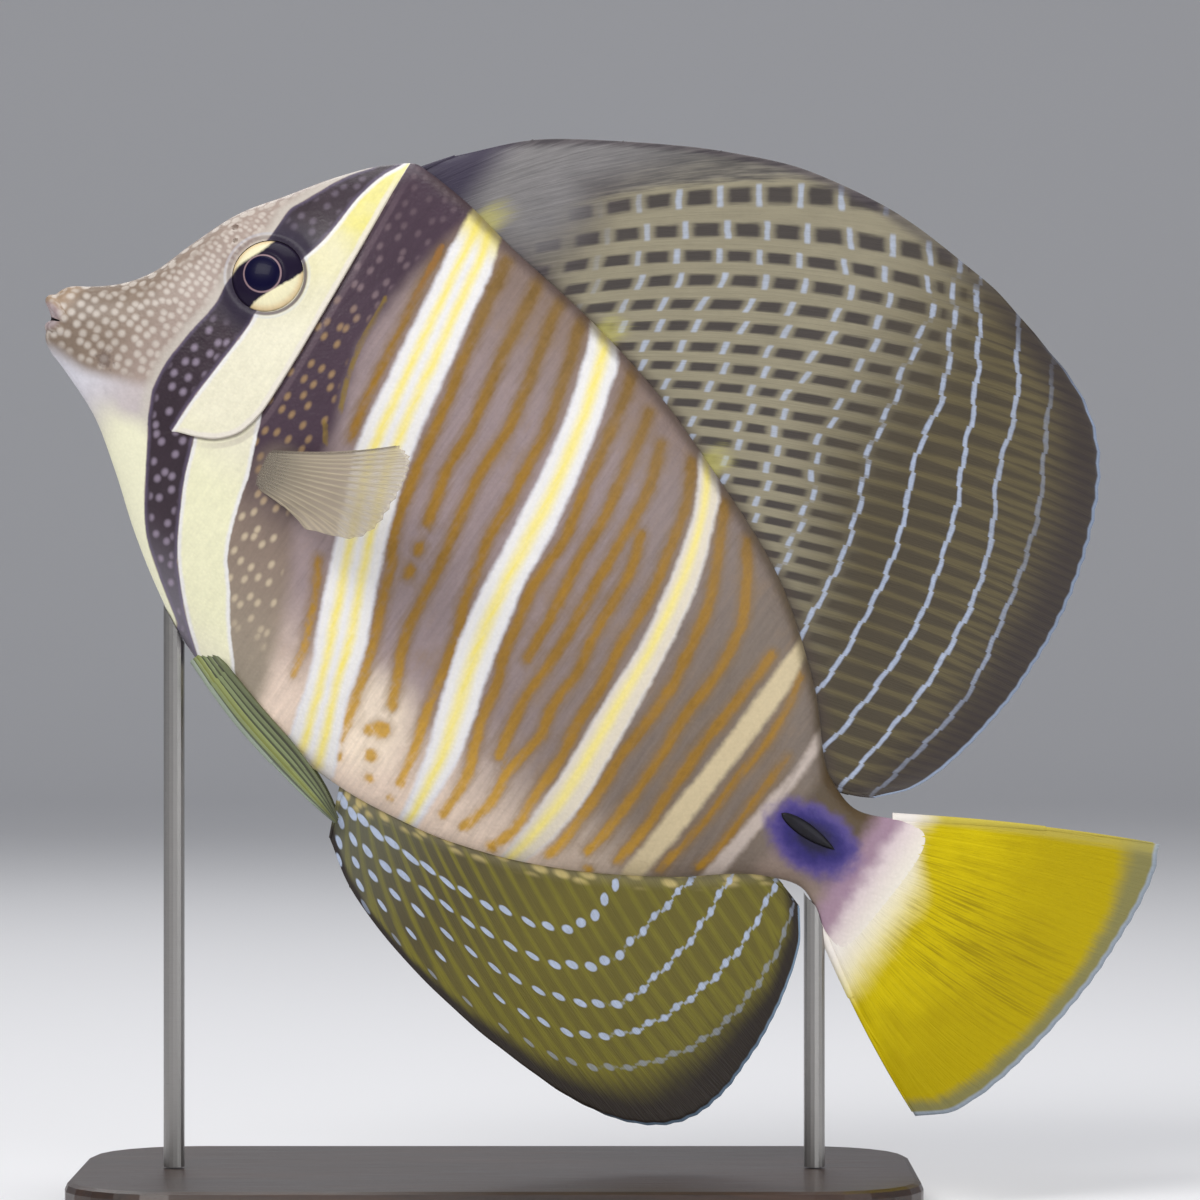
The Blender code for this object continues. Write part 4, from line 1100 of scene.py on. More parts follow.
def orange_lines(p, tone):
    """Orange lines, each in a soft brown border."""
    w, soft, fine, streaks = p.w, p.soft, p.fine, p.streaks
    gap = p.value("orange") + p.wobble
    orange = p.mix(p.smooth(w, 56, 24), (0.50, 0.38, 0.18), p.sizes.orange)
    orange = p.mix(p.smooth(w + soft * 3.0, -8, -36) * 0.8, orange, (0.84, 0.64, 0.18))
    border = p.smooth(gap + streaks * 0.6, 2.3, 0.2) * p.smooth(w, -40, -20, 0.15, 0.65)
    line = p.smooth(gap + streaks * 0.55 + fine * 0.15, 1.05, -0.1)
    orange = p.shade(orange, soft * 0.2 + fine * 0.22 + streaks * 0.25)
    return p.mix(line * 0.9, p.mix(border, tone, (0.51, 0.40, 0.24)), orange)


def behind_gill(p, tone):
    """Dark ground behind the gill opening, with its pale dots, and the olive ground below the breast fin."""
    u, w, wobble = p.u, p.w, p.wobble
    inside = p.value("dark") + wobble
    olive = p.mix(p.smooth(w, -12, -40), (0.54, 0.47, 0.42), (0.61, 0.56, 0.49))
    dark = p.shade(p.mix(p.smooth(w, 2, -16), p.sizes.dark, olive), p.soft * 0.15 + p.streaks * 0.16)
    tone = p.mix(p.smooth(inside, -3.0, 1.2), tone, dark)
    dots = p.spots(p.joined(p.over_u * 1.1, p.over_w * 0.7), 2.9, 0.20, 0.7, 0.13)
    dots = dots * p.smooth(inside, 0.3, 1.5) * p.smooth(w, -36, -24) * p.smooth(w, 62, 30, 0.25, 0.8)
    dot_tone = p.mix(p.smooth(w, -2, -12), (0.62, 0.50, 0.35), (0.80, 0.73, 0.62))
    tone = p.mix(dots, tone, p.mix(p.smooth(w, 28, 40), dot_tone, (0.52, 0.44, 0.46)))
    tone = p.mix(p.smooth(p.value("yellow") + wobble * 0.6, 0.8, 0.2) * 0.75, tone, (0.52, 0.42, 0.12))
    line = p.smooth(p.value("orange") + wobble, 0.8, 0.2) * p.smooth(u, 70, 60) * p.smooth(inside, -6, -2)
    return p.mix(line * 0.8, tone, (0.58, 0.40, 0.18))


def white_bars(p, tone):
    """White bars with their yellow streaks, and the plain pale ones towards the tail."""
    w, fine, streaks = p.w, p.fine, p.streaks
    waver = p.noise(p.place, 4.0, 1.0) * 0.03
    for name, (places, width, plain, strength) in STREAKS.items():
        inside = p.value(name) + p.wobble * 0.7
        across = p.value(name + "_across") + waver
        streak = 0.0
        for at in places:
            streak = p.highest(streak, p.smooth(abs(across - at) + fine * 0.02, width * 1.25, 0.0))
        bar = p.mix(streak * (streaks * 0.35 + strength), plain or p.sizes.white, p.sizes.yellow)
        bar = p.mix(p.smooth(inside, 1.2, 0.5) * 0.3, bar, (0.80, 0.80, 0.88))
        bar = p.mix(p.smooth(w, 56, 63) * 0.8, p.shade(bar, fine * 0.03 + p.soft * 0.03), (0.93, 0.86, 0.40))
        tone = p.mix(p.smooth(inside + fine * 0.12, -0.25, 0.85) * p.smooth(w, -46, -41, 0.7, 1.0), tone, bar)
    for name, pale, strength in (("bar_d", (0.82, 0.75, 0.60), 0.95), ("bar_e", (0.78, 0.72, 0.68), 0.85)):
        inside = p.value(name) + p.wobble * 0.8
        pale = p.shade(pale, fine * 0.06 + streaks * 0.06)
        tone = p.mix(p.smooth(inside + fine * 0.15, -0.4, 1.1) * strength, tone, pale)
    return tone


def cream_band(p, tone):
    """Cream band behind the eye bar, yellower at its top, white at its edges."""
    w, soft, wobble = p.w, p.soft, p.wobble
    inside = p.value("cream") + wobble * 0.6
    top = p.mix(p.smooth(w + soft * 6.0, 40, 58), (0.87, 0.84, 0.62), (0.92, 0.88, 0.44))
    cream = p.mix(p.smooth(w, 22, 46) * (0.75 + soft * 0.5), p.sizes.cream, top)
    cream = p.mix(p.smooth(w, 2, -12) * p.smooth(w, -44, -30), cream, (0.93, 0.92, 0.78))
    cream = p.mix(p.smooth(inside, 1.15, 0.4), cream, p.sizes.white)
    cream = p.shade(cream, p.streaks * 0.08 + p.fine * 0.07 + soft * 0.06 - 0.03)
    rim = p.smooth(p.value("gill") + wobble * 0.6, -1.4, -0.8) * p.smooth(p.value("gill"), 0.3, 0.0)
    cream = p.mix(rim * p.value("gill_cover") * 0.8, cream, (0.90, 0.87, 0.83))
    return p.mix(p.smooth(inside, -0.2, 0.25), tone, cream)


def face_spots(p, inside, low):
    """Pale spots of the snout, drawn on the flat side and, where the forehead turns, through the depth."""
    grow = p.smooth(p.over_w, 0, 50, 1.0, 1.55)
    flat = p.joined(p.over_u + (p.u - 22.0) * (grow - 1.0), p.over_w * grow)
    deep = p.smooth(p.cells(p.place, 2.0, 0.6), 0.60, 0.34)
    side_on = p.smooth(p.value("side_on"), 0.62, 0.86)
    spots = p.spots(flat, 2.25, 0.32, 0.5, 0.21) * side_on + deep * (1.0 - side_on)
    return spots * p.smooth(low + p.wobble * 2.0, -0.5, 2.0) * p.smooth(inside, 0.8, 2.6)


def face(p, tone):
    """Face: tan with pale spots, paler on the jaw and before the eye bar, with lips and mouth; painted shade darkens
    the snout's front and the mouth's slit.
    """
    u, w, soft, fine = p.u, p.w, p.soft, p.fine
    inside = p.value("face") + p.wobble * 0.6
    low = w - p.smooth(u, 12, 30, -5.2, 0.4)
    tan = p.mix(p.smooth(low + soft, 1.0, -2.5), p.sizes.face, p.sizes.face_pale)
    tan = p.mix(p.smooth(u, 12, 26) * 0.6, tan, (0.70, 0.63, 0.60))
    tan = p.mix(p.smooth(u, 6.0, 2.0) * p.smooth(low, 2.0, 6.0) * 0.6, tan, (0.72, 0.60, 0.48))
    # Painted shade: darker towards the snout's front, to tone down the key light that falls there.
    tan = p.shade(tan, soft * 0.12 + fine * 0.13 - p.smooth(u, 16, 4) * 0.15)
    tan = p.mix(face_spots(p, inside, low) * p.smooth(soft, -0.8, 0.6, 0.5, 0.8), tan, p.sizes.spot)
    tan = p.mix(p.smooth(inside + fine * 0.5, 2.8, 0.5) * 0.8, tan, (0.78, 0.75, 0.71))
    smudge = p.smooth(p.noise(p.place, 0.9, 2.0) * 2.2 + p.away(*SMUDGE), 2.4, 0.6)
    tan = p.mix(smudge * 0.55, tan, (0.36, 0.29, 0.27))
    tan = p.mix(p.smooth(w + soft * 2.0, -6, -11) * p.smooth(u, 16, 28), tan, (0.93, 0.92, 0.80))
    lips = p.smooth(p.away(*LIPS), 3.6, 1.8) * p.smooth(w, 2.6, 1.2)
    tan = p.mix(lips * 0.7, tan, (0.64, 0.57, 0.60))
    # Painted shade: the mouth's slit is painted near-black where shade falls in the gap between the lips.
    slit = p.smooth(p.value("mouth"), 0.55, 0.2) * p.smooth(abs(p.across), 3.0, 0.8)
    return p.mix(p.smooth(inside, -0.25, 0.25), tone, p.mix(slit, tan, (0.16, 0.12, 0.13)))


def orbit_ring(p, tone):
    """A thin pale ring round the eye, with a darker one inside."""
    tone = p.mix(p.smooth(abs(p.orbit - 8.45), 0.45, 0.1) * 0.3, tone, (0.74, 0.77, 0.84))
    dark = p.smooth(abs(p.orbit - 7.7), 0.6, 0.15) * p.smooth(p.u, 28, 38, 0.35, 0.85)
    return p.mix(dark, tone, (0.29, 0.23, 0.29))


def eye_bar(p, tone):
    """Eye bar with its faint pale dots, darkest by the eye."""
    w = p.w
    inside = p.value("eye_bar") + p.wobble * 0.7
    bar = p.shade(p.sizes.dark, p.soft * 0.20 + p.streaks * 0.12 - 0.45)
    bar = p.mix(p.smooth(w, -20, -36) * 0.7, bar, (0.48, 0.46, 0.50))
    dots = p.spots(p.joined(p.over_u, p.over_w * 0.85), 2.9, 0.22, 0.6, 0.15) * p.smooth(inside, 0.5, 1.6)
    dots = dots * p.smooth(abs(w - 29.0), 9, 14) * p.smooth(w, 36, 46, 1.0, 0.35)
    bar = p.mix(dots * 0.62, bar, (0.64, 0.58, 0.66))
    bar = p.mix(p.smooth(inside, 1.0, 0.1) * 0.35, bar, (0.50, 0.45, 0.58))
    bar = p.mix(p.by_eye * 0.75, bar, (0.15, 0.12, 0.21))
    return p.mix(p.smooth(inside, -0.2, 0.25), tone, bar)


def gill_edge_shade(p, tone):
    """The gill cover's free edge: a dark line of painted shadow under it, a mauve-grey band of painted shade in the
    groove behind it, and painted shade round the breast fin's root.
    """
    gill, cover = p.value("gill") + p.wobble * 0.12, p.value("gill_cover")
    # Painted shadow: a thin dark line under the gill cover's free edge.
    tone = p.mix(p.smooth(gill, -0.4, -0.05) * p.smooth(gill, 0.55, 0.2) * cover * 0.42, tone, (0.29, 0.21, 0.18))
    # Painted shade: a mauve-grey band in the groove behind the gill cover.
    groove_shade = p.smooth(gill, 0.7, 1.0) * p.smooth(gill, 2.2, 1.7) * cover * p.smooth(p.w, -7, -2)
    tone = p.mix(groove_shade * 0.25, tone, (0.50, 0.42, 0.45))
    # Painted shade round the root of the breast fin, where the fin stands out over the flank.
    return p.mix(p.smooth(p.away(*FIN_ROOT_SHADE), 6.5, 3.0) * 0.45, tone, (0.50, 0.44, 0.38))


def back_edge(p, tone):
    """Brown back under the dorsal fin."""
    ridge = p.smooth(p.value("back_gap") + p.wobble, 3.0, 0.4) * p.smooth(p.u, 44, 52)
    return p.mix(ridge * 0.7, tone, p.mix(p.smooth(p.u, 80, 175), (0.30, 0.24, 0.24), (0.33, 0.28, 0.20)))


def tail_stalk(p, tone):
    """Tail stalk: brown and mauve, the blue-violet patch round the spine, the white root of the tail fin."""
    u, w, wobble = p.u, p.w, p.wobble
    stalk = p.mix(p.smooth(w, -3, 6), (0.45, 0.37, 0.45), (0.32, 0.255, 0.165))
    stalk = p.mix(p.smooth(w, -5, -9) * 0.7, stalk, (0.60, 0.53, 0.44))
    tone = p.mix(p.smooth(u + wobble * 2.0, 178.5, 182.5), tone, p.shade(stalk, p.soft * 0.15 + p.fine * 0.1))
    tone = p.mix(p.smooth(u + wobble * 2.0, 192.5, 197) * 0.85, tone, (0.66, 0.54, 0.62))
    away = p.away(*TAIL_PATCH, squeeze=0.62) + p.noise(p.place, 2.6, 2.0) * 1.5
    tone = p.mix(p.smooth(away, 7.8, 4.8), tone, (0.33, 0.27, 0.54))
    tone = p.mix(p.smooth(away, 6.2, 3.4), tone, p.sizes.violet)
    tone = p.mix(p.smooth(away, 4.0, 1.2) * 0.85, tone, (0.04, 0.02, 0.13))
    root = p.mix(p.smooth(u, 199, 207), (0.86, 0.79, 0.80), (0.95, 0.92, 0.86))
    return p.mix(p.smooth(u + p.noise(p.place, 3.5, 2.0) * 2.0, 197.5, 201.5), tone, root)


def skin_material(sizes):
    """The whole pattern of the skin, from the snout's spots to the patch round the tail spine, with its painted
    shade.
    """
    p = SkinPaint(sizes)
    tone = flank_ground(p)
    for layer in (
        orange_lines, behind_gill, white_bars, cream_band, face, orbit_ring, eye_bar, gill_edge_shade, back_edge,
        tail_stalk,
    ):
        tone = layer(p, tone)
    scales = p.cells(p.place, 0.62, 0.9, feature="SMOOTH_F1")
    normal = p.bump(p.noise(p.place, 3.0, 3.0), 0.10, p.bump(scales, 0.06))
    rough = p.smooth(p.fine + p.soft * 0.5, -1.0, 1.0, 0.36, 0.54) + p.by_eye * 0.2
    return p.done(p.shade(tone, scales * -0.10 + 0.04), normal, rough)


class TANG_OT_skin(bpy.types.Operator):
    """Makes the skin over head, flank and tail stalk"""

    bl_idname = "tang.skin"
    bl_label = "Skin"

    def execute(self, context):
        settings = context.scene.tang_skin
        points, faces = skin_mesh(settings)
        skin = face_outwards(new_object("skin", points, faces))
        cut_away(skin, skin_cuts())
        skin_values(skin.data)
        shade_round(skin, 42)
        finish_piece(skin, ("head", "torso", "tail_stalk"), skin_material(settings))
        return {"FINISHED"}


# Fins


def bent_rays(root, tip, angle, share):
    """Points of rays that leave their roots at an angle and bend evenly to their tips, ray by share."""
    chord = tip - root
    length = np.linalg.norm(chord, axis=1)
    lead = np.stack([np.cos(angle), np.sin(angle)], 1)
    lean = np.maximum((lead * chord).sum(1) / length, 0.3)
    middle = root + lead * (length / 2 / lean)[:, None]
    s = share[..., None]
    return (1 - s) ** 2 * root[:, None] + 2 * s * (1 - s) * middle[:, None] + s ** 2 * tip[:, None]


def scalloped(position, share, depth=0.004):
    """Shares along the rays, a little shorter between two rays than on them."""
    off_ray = np.abs(position - np.round(position)) / 0.5
    return share * (1 - depth * off_ray)[:, None]


def sail_rule(sizes, side):
    """The middle surface of the dorsal or anal fin: ray places and shares to points of the fish's frame."""
    root_at = smooth_curve(sizes["roots"])
    tip_u, tip_w = smooth_curve(sizes["tips"], 1), smooth_curve(sizes["tips"], 2)
    angle_at = smooth_curve(sizes["angles"])
    edge = back if side > 0 else belly

    def surface(position, share):
        u = root_at(position)
        root = np.stack([u, edge(u) - side * SAIL_SUNK], 1)
        tip = np.stack([tip_u(u), tip_w(u)], 1)
        flat = bent_rays(root, tip, np.radians(angle_at(u)), scalloped(position, share))
        turns = 1.35 * position[:, None] / (sizes["rays"] - 1) + 0.35 * share
        y = sizes["sway"] * share ** 1.6 * np.sin(2 * np.pi * turns)
        return np.stack([flat[..., 0], y, flat[..., 1]], -1)

    return surface


def tail_rule():
    root_w = smooth_curve(TAIL_ROOT_HEIGHTS)
    tip_u, tip_w = smooth_curve(TAIL_TIPS, 1), smooth_curve(TAIL_TIPS, 2)
    angle_at = smooth_curve(TAIL_ANGLES)

    def surface(position, share):
        root = np.stack([np.full(len(position), BODY_END - TAIL_SUNK), root_w(position) * 0.97], 1)
        tip = np.stack([tip_u(position), tip_w(position)], 1)
        flat = bent_rays(root, tip, np.radians(angle_at(position)), scalloped(position, share))
        turn = np.sin(2 * np.pi * (0.9 * position / (TAIL_RAYS - 1) + 0.1))
        y = TAIL_SWAY * share ** 1.5 * turn[:, None]
        return np.stack([flat[..., 0], y, flat[..., 1]], -1)

    return surface


def pectoral_rule(side):
    tip_a, tip_b = smooth_curve(PECTORAL_TIPS, 1), smooth_curve(PECTORAL_TIPS, 2)
    root_u, root_w = PECTORAL_ROOT
    out, rise = PECTORAL_SPREAD, PECTORAL_RISE
    along = np.array([math.cos(out) * math.cos(rise), math.sin(out), math.cos(out) * math.sin(rise)])
    across = np.array([-math.sin(rise), 0.0, math.cos(rise)])
    normal = np.cross(across, along)
    origin = np.array([root_u, float(flank(root_u, root_w)), root_w]) - along * PECTORAL_SUNK

    def surface(position, share):
        b0 = PECTORAL_ROOT_SPAN * (0.5 - position / (PECTORAL_RAYS - 1))
        root = np.stack([np.zeros(len(position)), b0], 1)
        tip = np.stack([tip_a(position) + PECTORAL_SUNK, tip_b(position)], 1)
        lead = np.arctan2(tip[:, 1] - root[:, 1], tip[:, 0]) * 0.7
        flat = bent_rays(root, tip, lead, scalloped(position, share, 0.018))
        a, b = flat[..., 0], flat[..., 1]
        camber = PECTORAL_CAMBER * np.sin(np.pi * np.minimum(share, 1.0) * 0.9) + 0.02 * b * b * share
        points = origin + a[..., None] * along + b[..., None] * across - camber[..., None] * normal
        return points * np.array([1.0, side, 1.0])

    return surface


def pelvic_rule(side):
    upper, lower = np.array(PELVIC_UPPER_EDGE, float), np.array(PELVIC_LOWER_EDGE, float)
    run = np.linspace(0, 1, len(upper))

    def edge_points(line, share):
        return np.stack([smooth_curve(list(zip(run, line[:, k])))(share) for k in (0, 1)], -1)

    def surface(position, share):
        across = (position / (PELVIC_RAYS - 1))[:, None, None]
        flat = edge_points(upper, share) * (1 - across) + edge_points(lower, share) * across
        a, b = flat[..., 0], flat[..., 1]
        inward = np.maximum(0.0, 1 - (a - upper[0][0]) / (PELVIC_ROOT_END - upper[0][0])) ** 1.2
        y = PELVIC_TOP_Y + PELVIC_LEAN * (b - upper[0][1]) - PELVIC_ROOT_IN * inward
        return np.stack([a, side * y, b], -1)

    return surface


def membrane_grid(surface, rays, between, rows, half, flatten=0.9):
    """Points and faces of a closed thin membrane, with its place among rays and along them for each point."""
    position = np.linspace(0, rays - 1, (rays - 1) * between + 1)
    share = np.broadcast_to((np.linspace(0, 1, rows + 1) ** flatten)[None, :], (len(position), rows + 1))
    middle = surface(position, share)
    along = np.gradient(middle, axis=1)
    across = np.gradient(middle, axis=0)
    normal = np.cross(along, across)
    normal /= np.maximum(np.linalg.norm(normal, axis=-1), 1e-9)[..., None]
    edge = np.minimum(position, rays - 1 - position)[:, None]
    sides_in = np.sqrt(np.clip(edge / 0.5, 0.0, 1.0))
    ends_in = np.sqrt(np.clip((1 - share) / 0.012, 0.0, 1.0))
    thick = half(share) * np.minimum(np.maximum(sides_in, 0.25), np.maximum(ends_in, 0.25))
    one, two = middle + normal * thick[..., None], middle - normal * thick[..., None]
    columns, per = middle.shape[:2]
    count = columns * per
    points = np.concatenate([one.reshape(-1, 3), two.reshape(-1, 3)])
    index = np.arange(count).reshape(columns, per)
    a, b, c, d = (g.ravel() for g in (index[:-1, :-1], index[:-1, 1:], index[1:, 1:], index[1:, :-1]))
    faces = np.stack([a, b, c, d], 1).tolist() + np.stack([d + count, c + count, b + count, a + count], 1).tolist()
    border = np.concatenate([index[0, :], index[1:, -1], index[-1, -2::-1], index[-2:0:-1, 0]])
    after = np.roll(border, -1)
    faces += np.stack([border, border + count, after + count, after], 1).tolist()
    places = np.stack([np.broadcast_to(position[:, None], share.shape), share], -1).reshape(-1, 2)
    return points, faces, np.concatenate([places, places])


def fork_start(position, rays, fork_at):
    """Where along a ray it forks; the rear rays fork nearer to the body."""
    return fork_at + 0.2 * (1 - position / (rays - 1))


def fork_spread(position, share, rays, fork_at):
    """How far a ray's two strands have parted, in ray places."""
    return 0.25 * ease(0.0, 0.4, share - fork_start(position, rays, fork_at))


def ray_guides(surface, rays, spines, root_radius, tip_radius, fork_at, steps=34):
    """Lines along the fin's rays, forked in their outer part, with their thickness."""
    points, edges, places, radii = [], [], [], []

    def strand(k, start, end, way, thick):
        share = np.linspace(start, end, max(int(steps * (end - start)), 6))
        position = np.clip(k + way * fork_spread(k, share, rays, fork_at), 0.0, rays - 1.0)
        line = np.stack([surface(np.array([q]), np.array([[s]]))[0, 0] for q, s in zip(position, share)])
        base = len(points)
        points.extend(line.tolist())
        edges.extend((base + i, base + i + 1) for i in range(len(line) - 1))
        places.extend(zip(position.tolist(), share.tolist()))
        full = root_radius + (tip_radius - root_radius) * share ** 0.7
        radii.extend((full * thick).tolist())

    for k in range(rays):
        if k < spines:
            strand(k, 0.0, 0.992, 0.0, 1.0)
        else:
            fork = fork_start(k, rays, fork_at)
            strand(k, 0.0, fork + 0.03, 0.0, 1.0)
            strand(k, fork, 0.975, -1.0, 0.72)
            strand(k, fork, 0.975, 1.0, 0.72)
    return points, edges, places, radii


def ray_tree():
    """Node tree that turns a fin's guide lines into tapered rays and joins them to its membrane."""
    tree = bpy.data.node_groups.new("fin_rays", "GeometryNodeTree")
    for name, way, kind in (
        ("Fin", "INPUT", "Geometry"), ("Ray thickness", "INPUT", "Float"), ("Ray sides", "INPUT", "Int"),
        ("Finish", "INPUT", "Material"), ("Fin", "OUTPUT", "Geometry"),
    ):
        tree.interface.new_socket(name, in_out=way, socket_type="NodeSocket" + kind)
    link = tree.links.new
    start, end = (tree.nodes.new(kind) for kind in ("NodeGroupInput", "NodeGroupOutput"))

    def made(kind, inputs, **options):
        """A new node with its options set and its inputs linked, or set where they are plain values."""
        node = tree.nodes.new(kind)
        for name, option in options.items():
            setattr(node, name, option)
        for key, value in inputs.items():
            if isinstance(value, bpy.types.NodeSocket):
                link(value, node.inputs[key])
            else:
                node.inputs[key].default_value = value
        return node

    def number(name):
        return made("GeometryNodeInputNamedAttribute", {"Name": name}, data_type="FLOAT").outputs["Attribute"]

    given = start.outputs
    chosen = made("FunctionNodeCompare", {0: number("guide"), 1: 0.5}, data_type="FLOAT", operation="GREATER_THAN")
    guides = made(
        "GeometryNodeSeparateGeometry", {"Geometry": given["Fin"], "Selection": chosen.outputs[0]}, domain="POINT"
    )
    lines = made("GeometryNodeMeshToCurve", {"Mesh": guides.outputs["Selection"]})
    thick = made("ShaderNodeMath", {0: number("ray_radius"), 1: given["Ray thickness"]}, operation="MULTIPLY")
    ring = made("GeometryNodeCurvePrimitiveCircle", {"Radius": 1.0, "Resolution": given["Ray sides"]})
    rays = made("GeometryNodeCurveToMesh", {
        "Curve": lines.outputs["Curve"], "Profile Curve": ring.outputs["Curve"], "Scale": thick.outputs[0],
        "Fill Caps": True,
    })
    joined = made("GeometryNodeJoinGeometry", {})
    link(guides.outputs["Inverted"], joined.inputs[0])
    link(rays.outputs["Mesh"], joined.inputs[0])
    smooth = made("GeometryNodeSetShadeSmooth", {"Geometry": joined.outputs[0]})
    real = made("GeometryNodeRealizeInstances", {0: smooth.outputs[0]})
    finish = made("GeometryNodeSetMaterial", {"Geometry": real.outputs[0], "Material": given["Finish"]})
    link(finish.outputs[0], end.inputs[0])
    return tree


def along_rays(surface, position, share):
    """A grid of points on the fin, ray by share, and how far along its ray each of them is."""
    grid = surface(position, np.broadcast_to(share[None], (len(position), len(share))))
    return grid, run_lengths(np.linalg.norm(np.diff(grid, axis=1), axis=-1))


def row_place(lines, surface, rays, places, from_root):
    """Which row of marks each point is at, counted along its ray, and the space between the rows beside it."""
    position, share = np.linspace(0, rays - 1, 6 * rays), np.linspace(0, 1, 181)
    grid, run = along_rays(surface, position, share)
    crossings = []
    for line in lines:
        spots = finer(line, 1.5)
        off = np.hypot(grid[None, ..., 0] - spots[:, 0, None, None], grid[None, ..., 2] - spots[:, 1, None, None])
        at = off.reshape(len(spots), -1).argmin(1)
        place, along = position[at // len(share)], run.ravel()[at]
        reach = []
        for q in position:
            held = min(max(q, place.min()), place.max())
            weight = np.exp(-(((place - held) / 0.7) ** 2) / 2) + 1e-6
            slope, height = np.polyfit(place - held, along, 1, w=weight)
            reach.append(height + np.clip(slope, -12, 12) * (q - held))
        crossings.append(np.interp(places[:, 0], position, reach))
    for k in range(len(lines) - 2, -1, -1):
        crossings[k] = np.maximum(crossings[k], crossings[k + 1] + LEAST_ROW_SPACE)
    row = len(lines) - 1 + (crossings[-1] - from_root) / ROW_SPACE
    space = np.full(len(row), ROW_SPACE)
    for k in range(len(lines) - 1, 0, -1):
        beyond = from_root > crossings[k]
        between = crossings[k - 1] - crossings[k]
        row = np.where(beyond, k - (from_root - crossings[k]) / between, row)
        space = np.where(beyond, between, space)
    beyond = from_root > crossings[0]
    return np.where(beyond, (crossings[0] - from_root) / ROW_SPACE, row), np.where(beyond, ROW_SPACE, space)


def distance_along(surface, places):
    """Millimetres from the fin's root and from its edge along the ray, for each point."""
    steps = 40
    position = np.linspace(places[:, 0].min(), places[:, 0].max(), 120)
    _, run = along_rays(surface, position, np.linspace(0, 1, steps + 1))
    at = np.interp(places[:, 0], position, np.arange(len(position)))
    i = np.minimum(at.astype(int), len(position) - 2)
    k = places[:, 1] * steps
    j = np.minimum(k.astype(int), steps - 1)
    a, b = at - i, k - j
    near, far, whole = (run[i, m] * (1 - a) + run[i + 1, m] * a for m in (j, j + 1, steps))
    here = near * (1 - b) + far * b
    return here, whole - here


def make_fin(name, surface, rays, half, radii, grid, material, sizes, spines=0, fork_at=0.42, marks=None):
    """A fin as one piece: its membrane with the rays' tubes let into it."""
    grid_points, faces, places = membrane_grid(surface, rays, *grid, half)
    guide_points, edges, guide_places, guide_radii = ray_guides(surface, rays, spines, *radii, fork_at)
    count = len(grid_points)
    points = np.concatenate([grid_points, np.array(guide_points)])
    places = np.concatenate([places, np.array(guide_places)])
    fin = new_object(name, points, faces, [(a + count, b + count) for a, b in edges])
    ray, share = places.T
    from_root, from_edge = distance_along(surface, places)
    one, two = (surface(np.clip(ray + k, 0, rays - 1), share[:, None])[:, 0] for k in (-0.5, 0.5))
    carried = {
        "guide": np.concatenate([np.zeros(count), np.ones(len(guide_points))]),
        "ray_radius": np.concatenate([np.zeros(count), np.array(guide_radii) * MM]),
        "fish": points[:, [0, 2, 1]],
        "ray": ray,
        "ray_gap": np.linalg.norm(two - one, axis=1),
        "fork": np.where(ray > spines - 0.5, fork_spread(ray, share, rays, fork_at), 0.0),
        "share": share,
        "from_root": from_root,
        "from_edge": from_edge,
    }
    if marks:
        carried["row"], carried["row_gap"] = row_place(marks, surface, rays, places, from_root)
    for key, values in carried.items():
        add_values(fin.data, key, values)
    tree = bpy.data.node_groups.get("fin_rays") or ray_tree()
    modifier = fin.modifiers.new("rays", "NODES")
    modifier.node_group = tree
    inputs = {item.name: item.identifier for item in tree.interface.items_tree if item.in_out == "INPUT"}
    for key, value in (("Ray thickness", sizes.ray_thickness), ("Ray sides", sizes.ray_sides), ("Finish", material)):
        modifier[inputs[key]] = value
    result = evaluated_mesh(fin)
    fin.modifiers.clear()
    fin.data = result
    return fin


def taper(root, tip, power=0.8):
    return lambda share: root + (tip - root) * share ** power


class FinPaint(FishPaint):
    """A fin's material, with the fields that its patterns share."""

    def __init__(self, name, patches, lines, roughness=0.48, coat=0.12, specular=0.35):
        """The lines' numbers: how many between two rays, how many in a millimetre, their detail and roughness."""
        super().__init__(name, roughness=roughness, coat=coat, coat_roughness=0.3, specular=specular)
        self.ray, self.from_root, self.from_edge = (self.value(key) for key in ("ray", "from_root", "from_edge"))
        off_ray = abs(self.ray - self.calc("ROUND", self.ray))
        self.on_ray = 1.0 - off_ray * 2.0
        self.on_strand = 1.0 - abs(off_ray - self.value("fork")) * 3.6
        self.soft = self.noise(self.place, patches, 3.0)
        count, length, *detail = lines
        self.lines = self.noise(self.joined(self.ray * count, self.from_root * length), 1.0, *detail)


class SailPaint(FinPaint):
    """The dorsal or the anal fin's material, with its rows of marks."""

    def __init__(self, name):
        super().__init__(name, 8.0, (9.0, 0.10, 3.0, 0.6))
        self.fine = self.noise(self.place, 1.2, 3.0, 0.6)
        self.row = self.value("row")
        # Every other space between rays, from -0.5 to 0.5
        self.odd = self.calc("MODULO", self.calc("FLOOR", self.ray), 2.0) - 0.5

    def off_rows(self, shift):
        """Millimetres along the ray from the nearest row of marks."""
        return abs((self.row - self.calc("ROUND", self.row)) * self.value("row_gap") + shift)

    def finished(self, tone, patches):
        tone = self.shade(tone, self.soft * patches + self.lines * 0.14 + self.fine * 0.06)
        return self.done(tone, self.bump(self.lines, 0.08), self.smooth(self.fine, -1.0, 1.0, 0.42, 0.6))


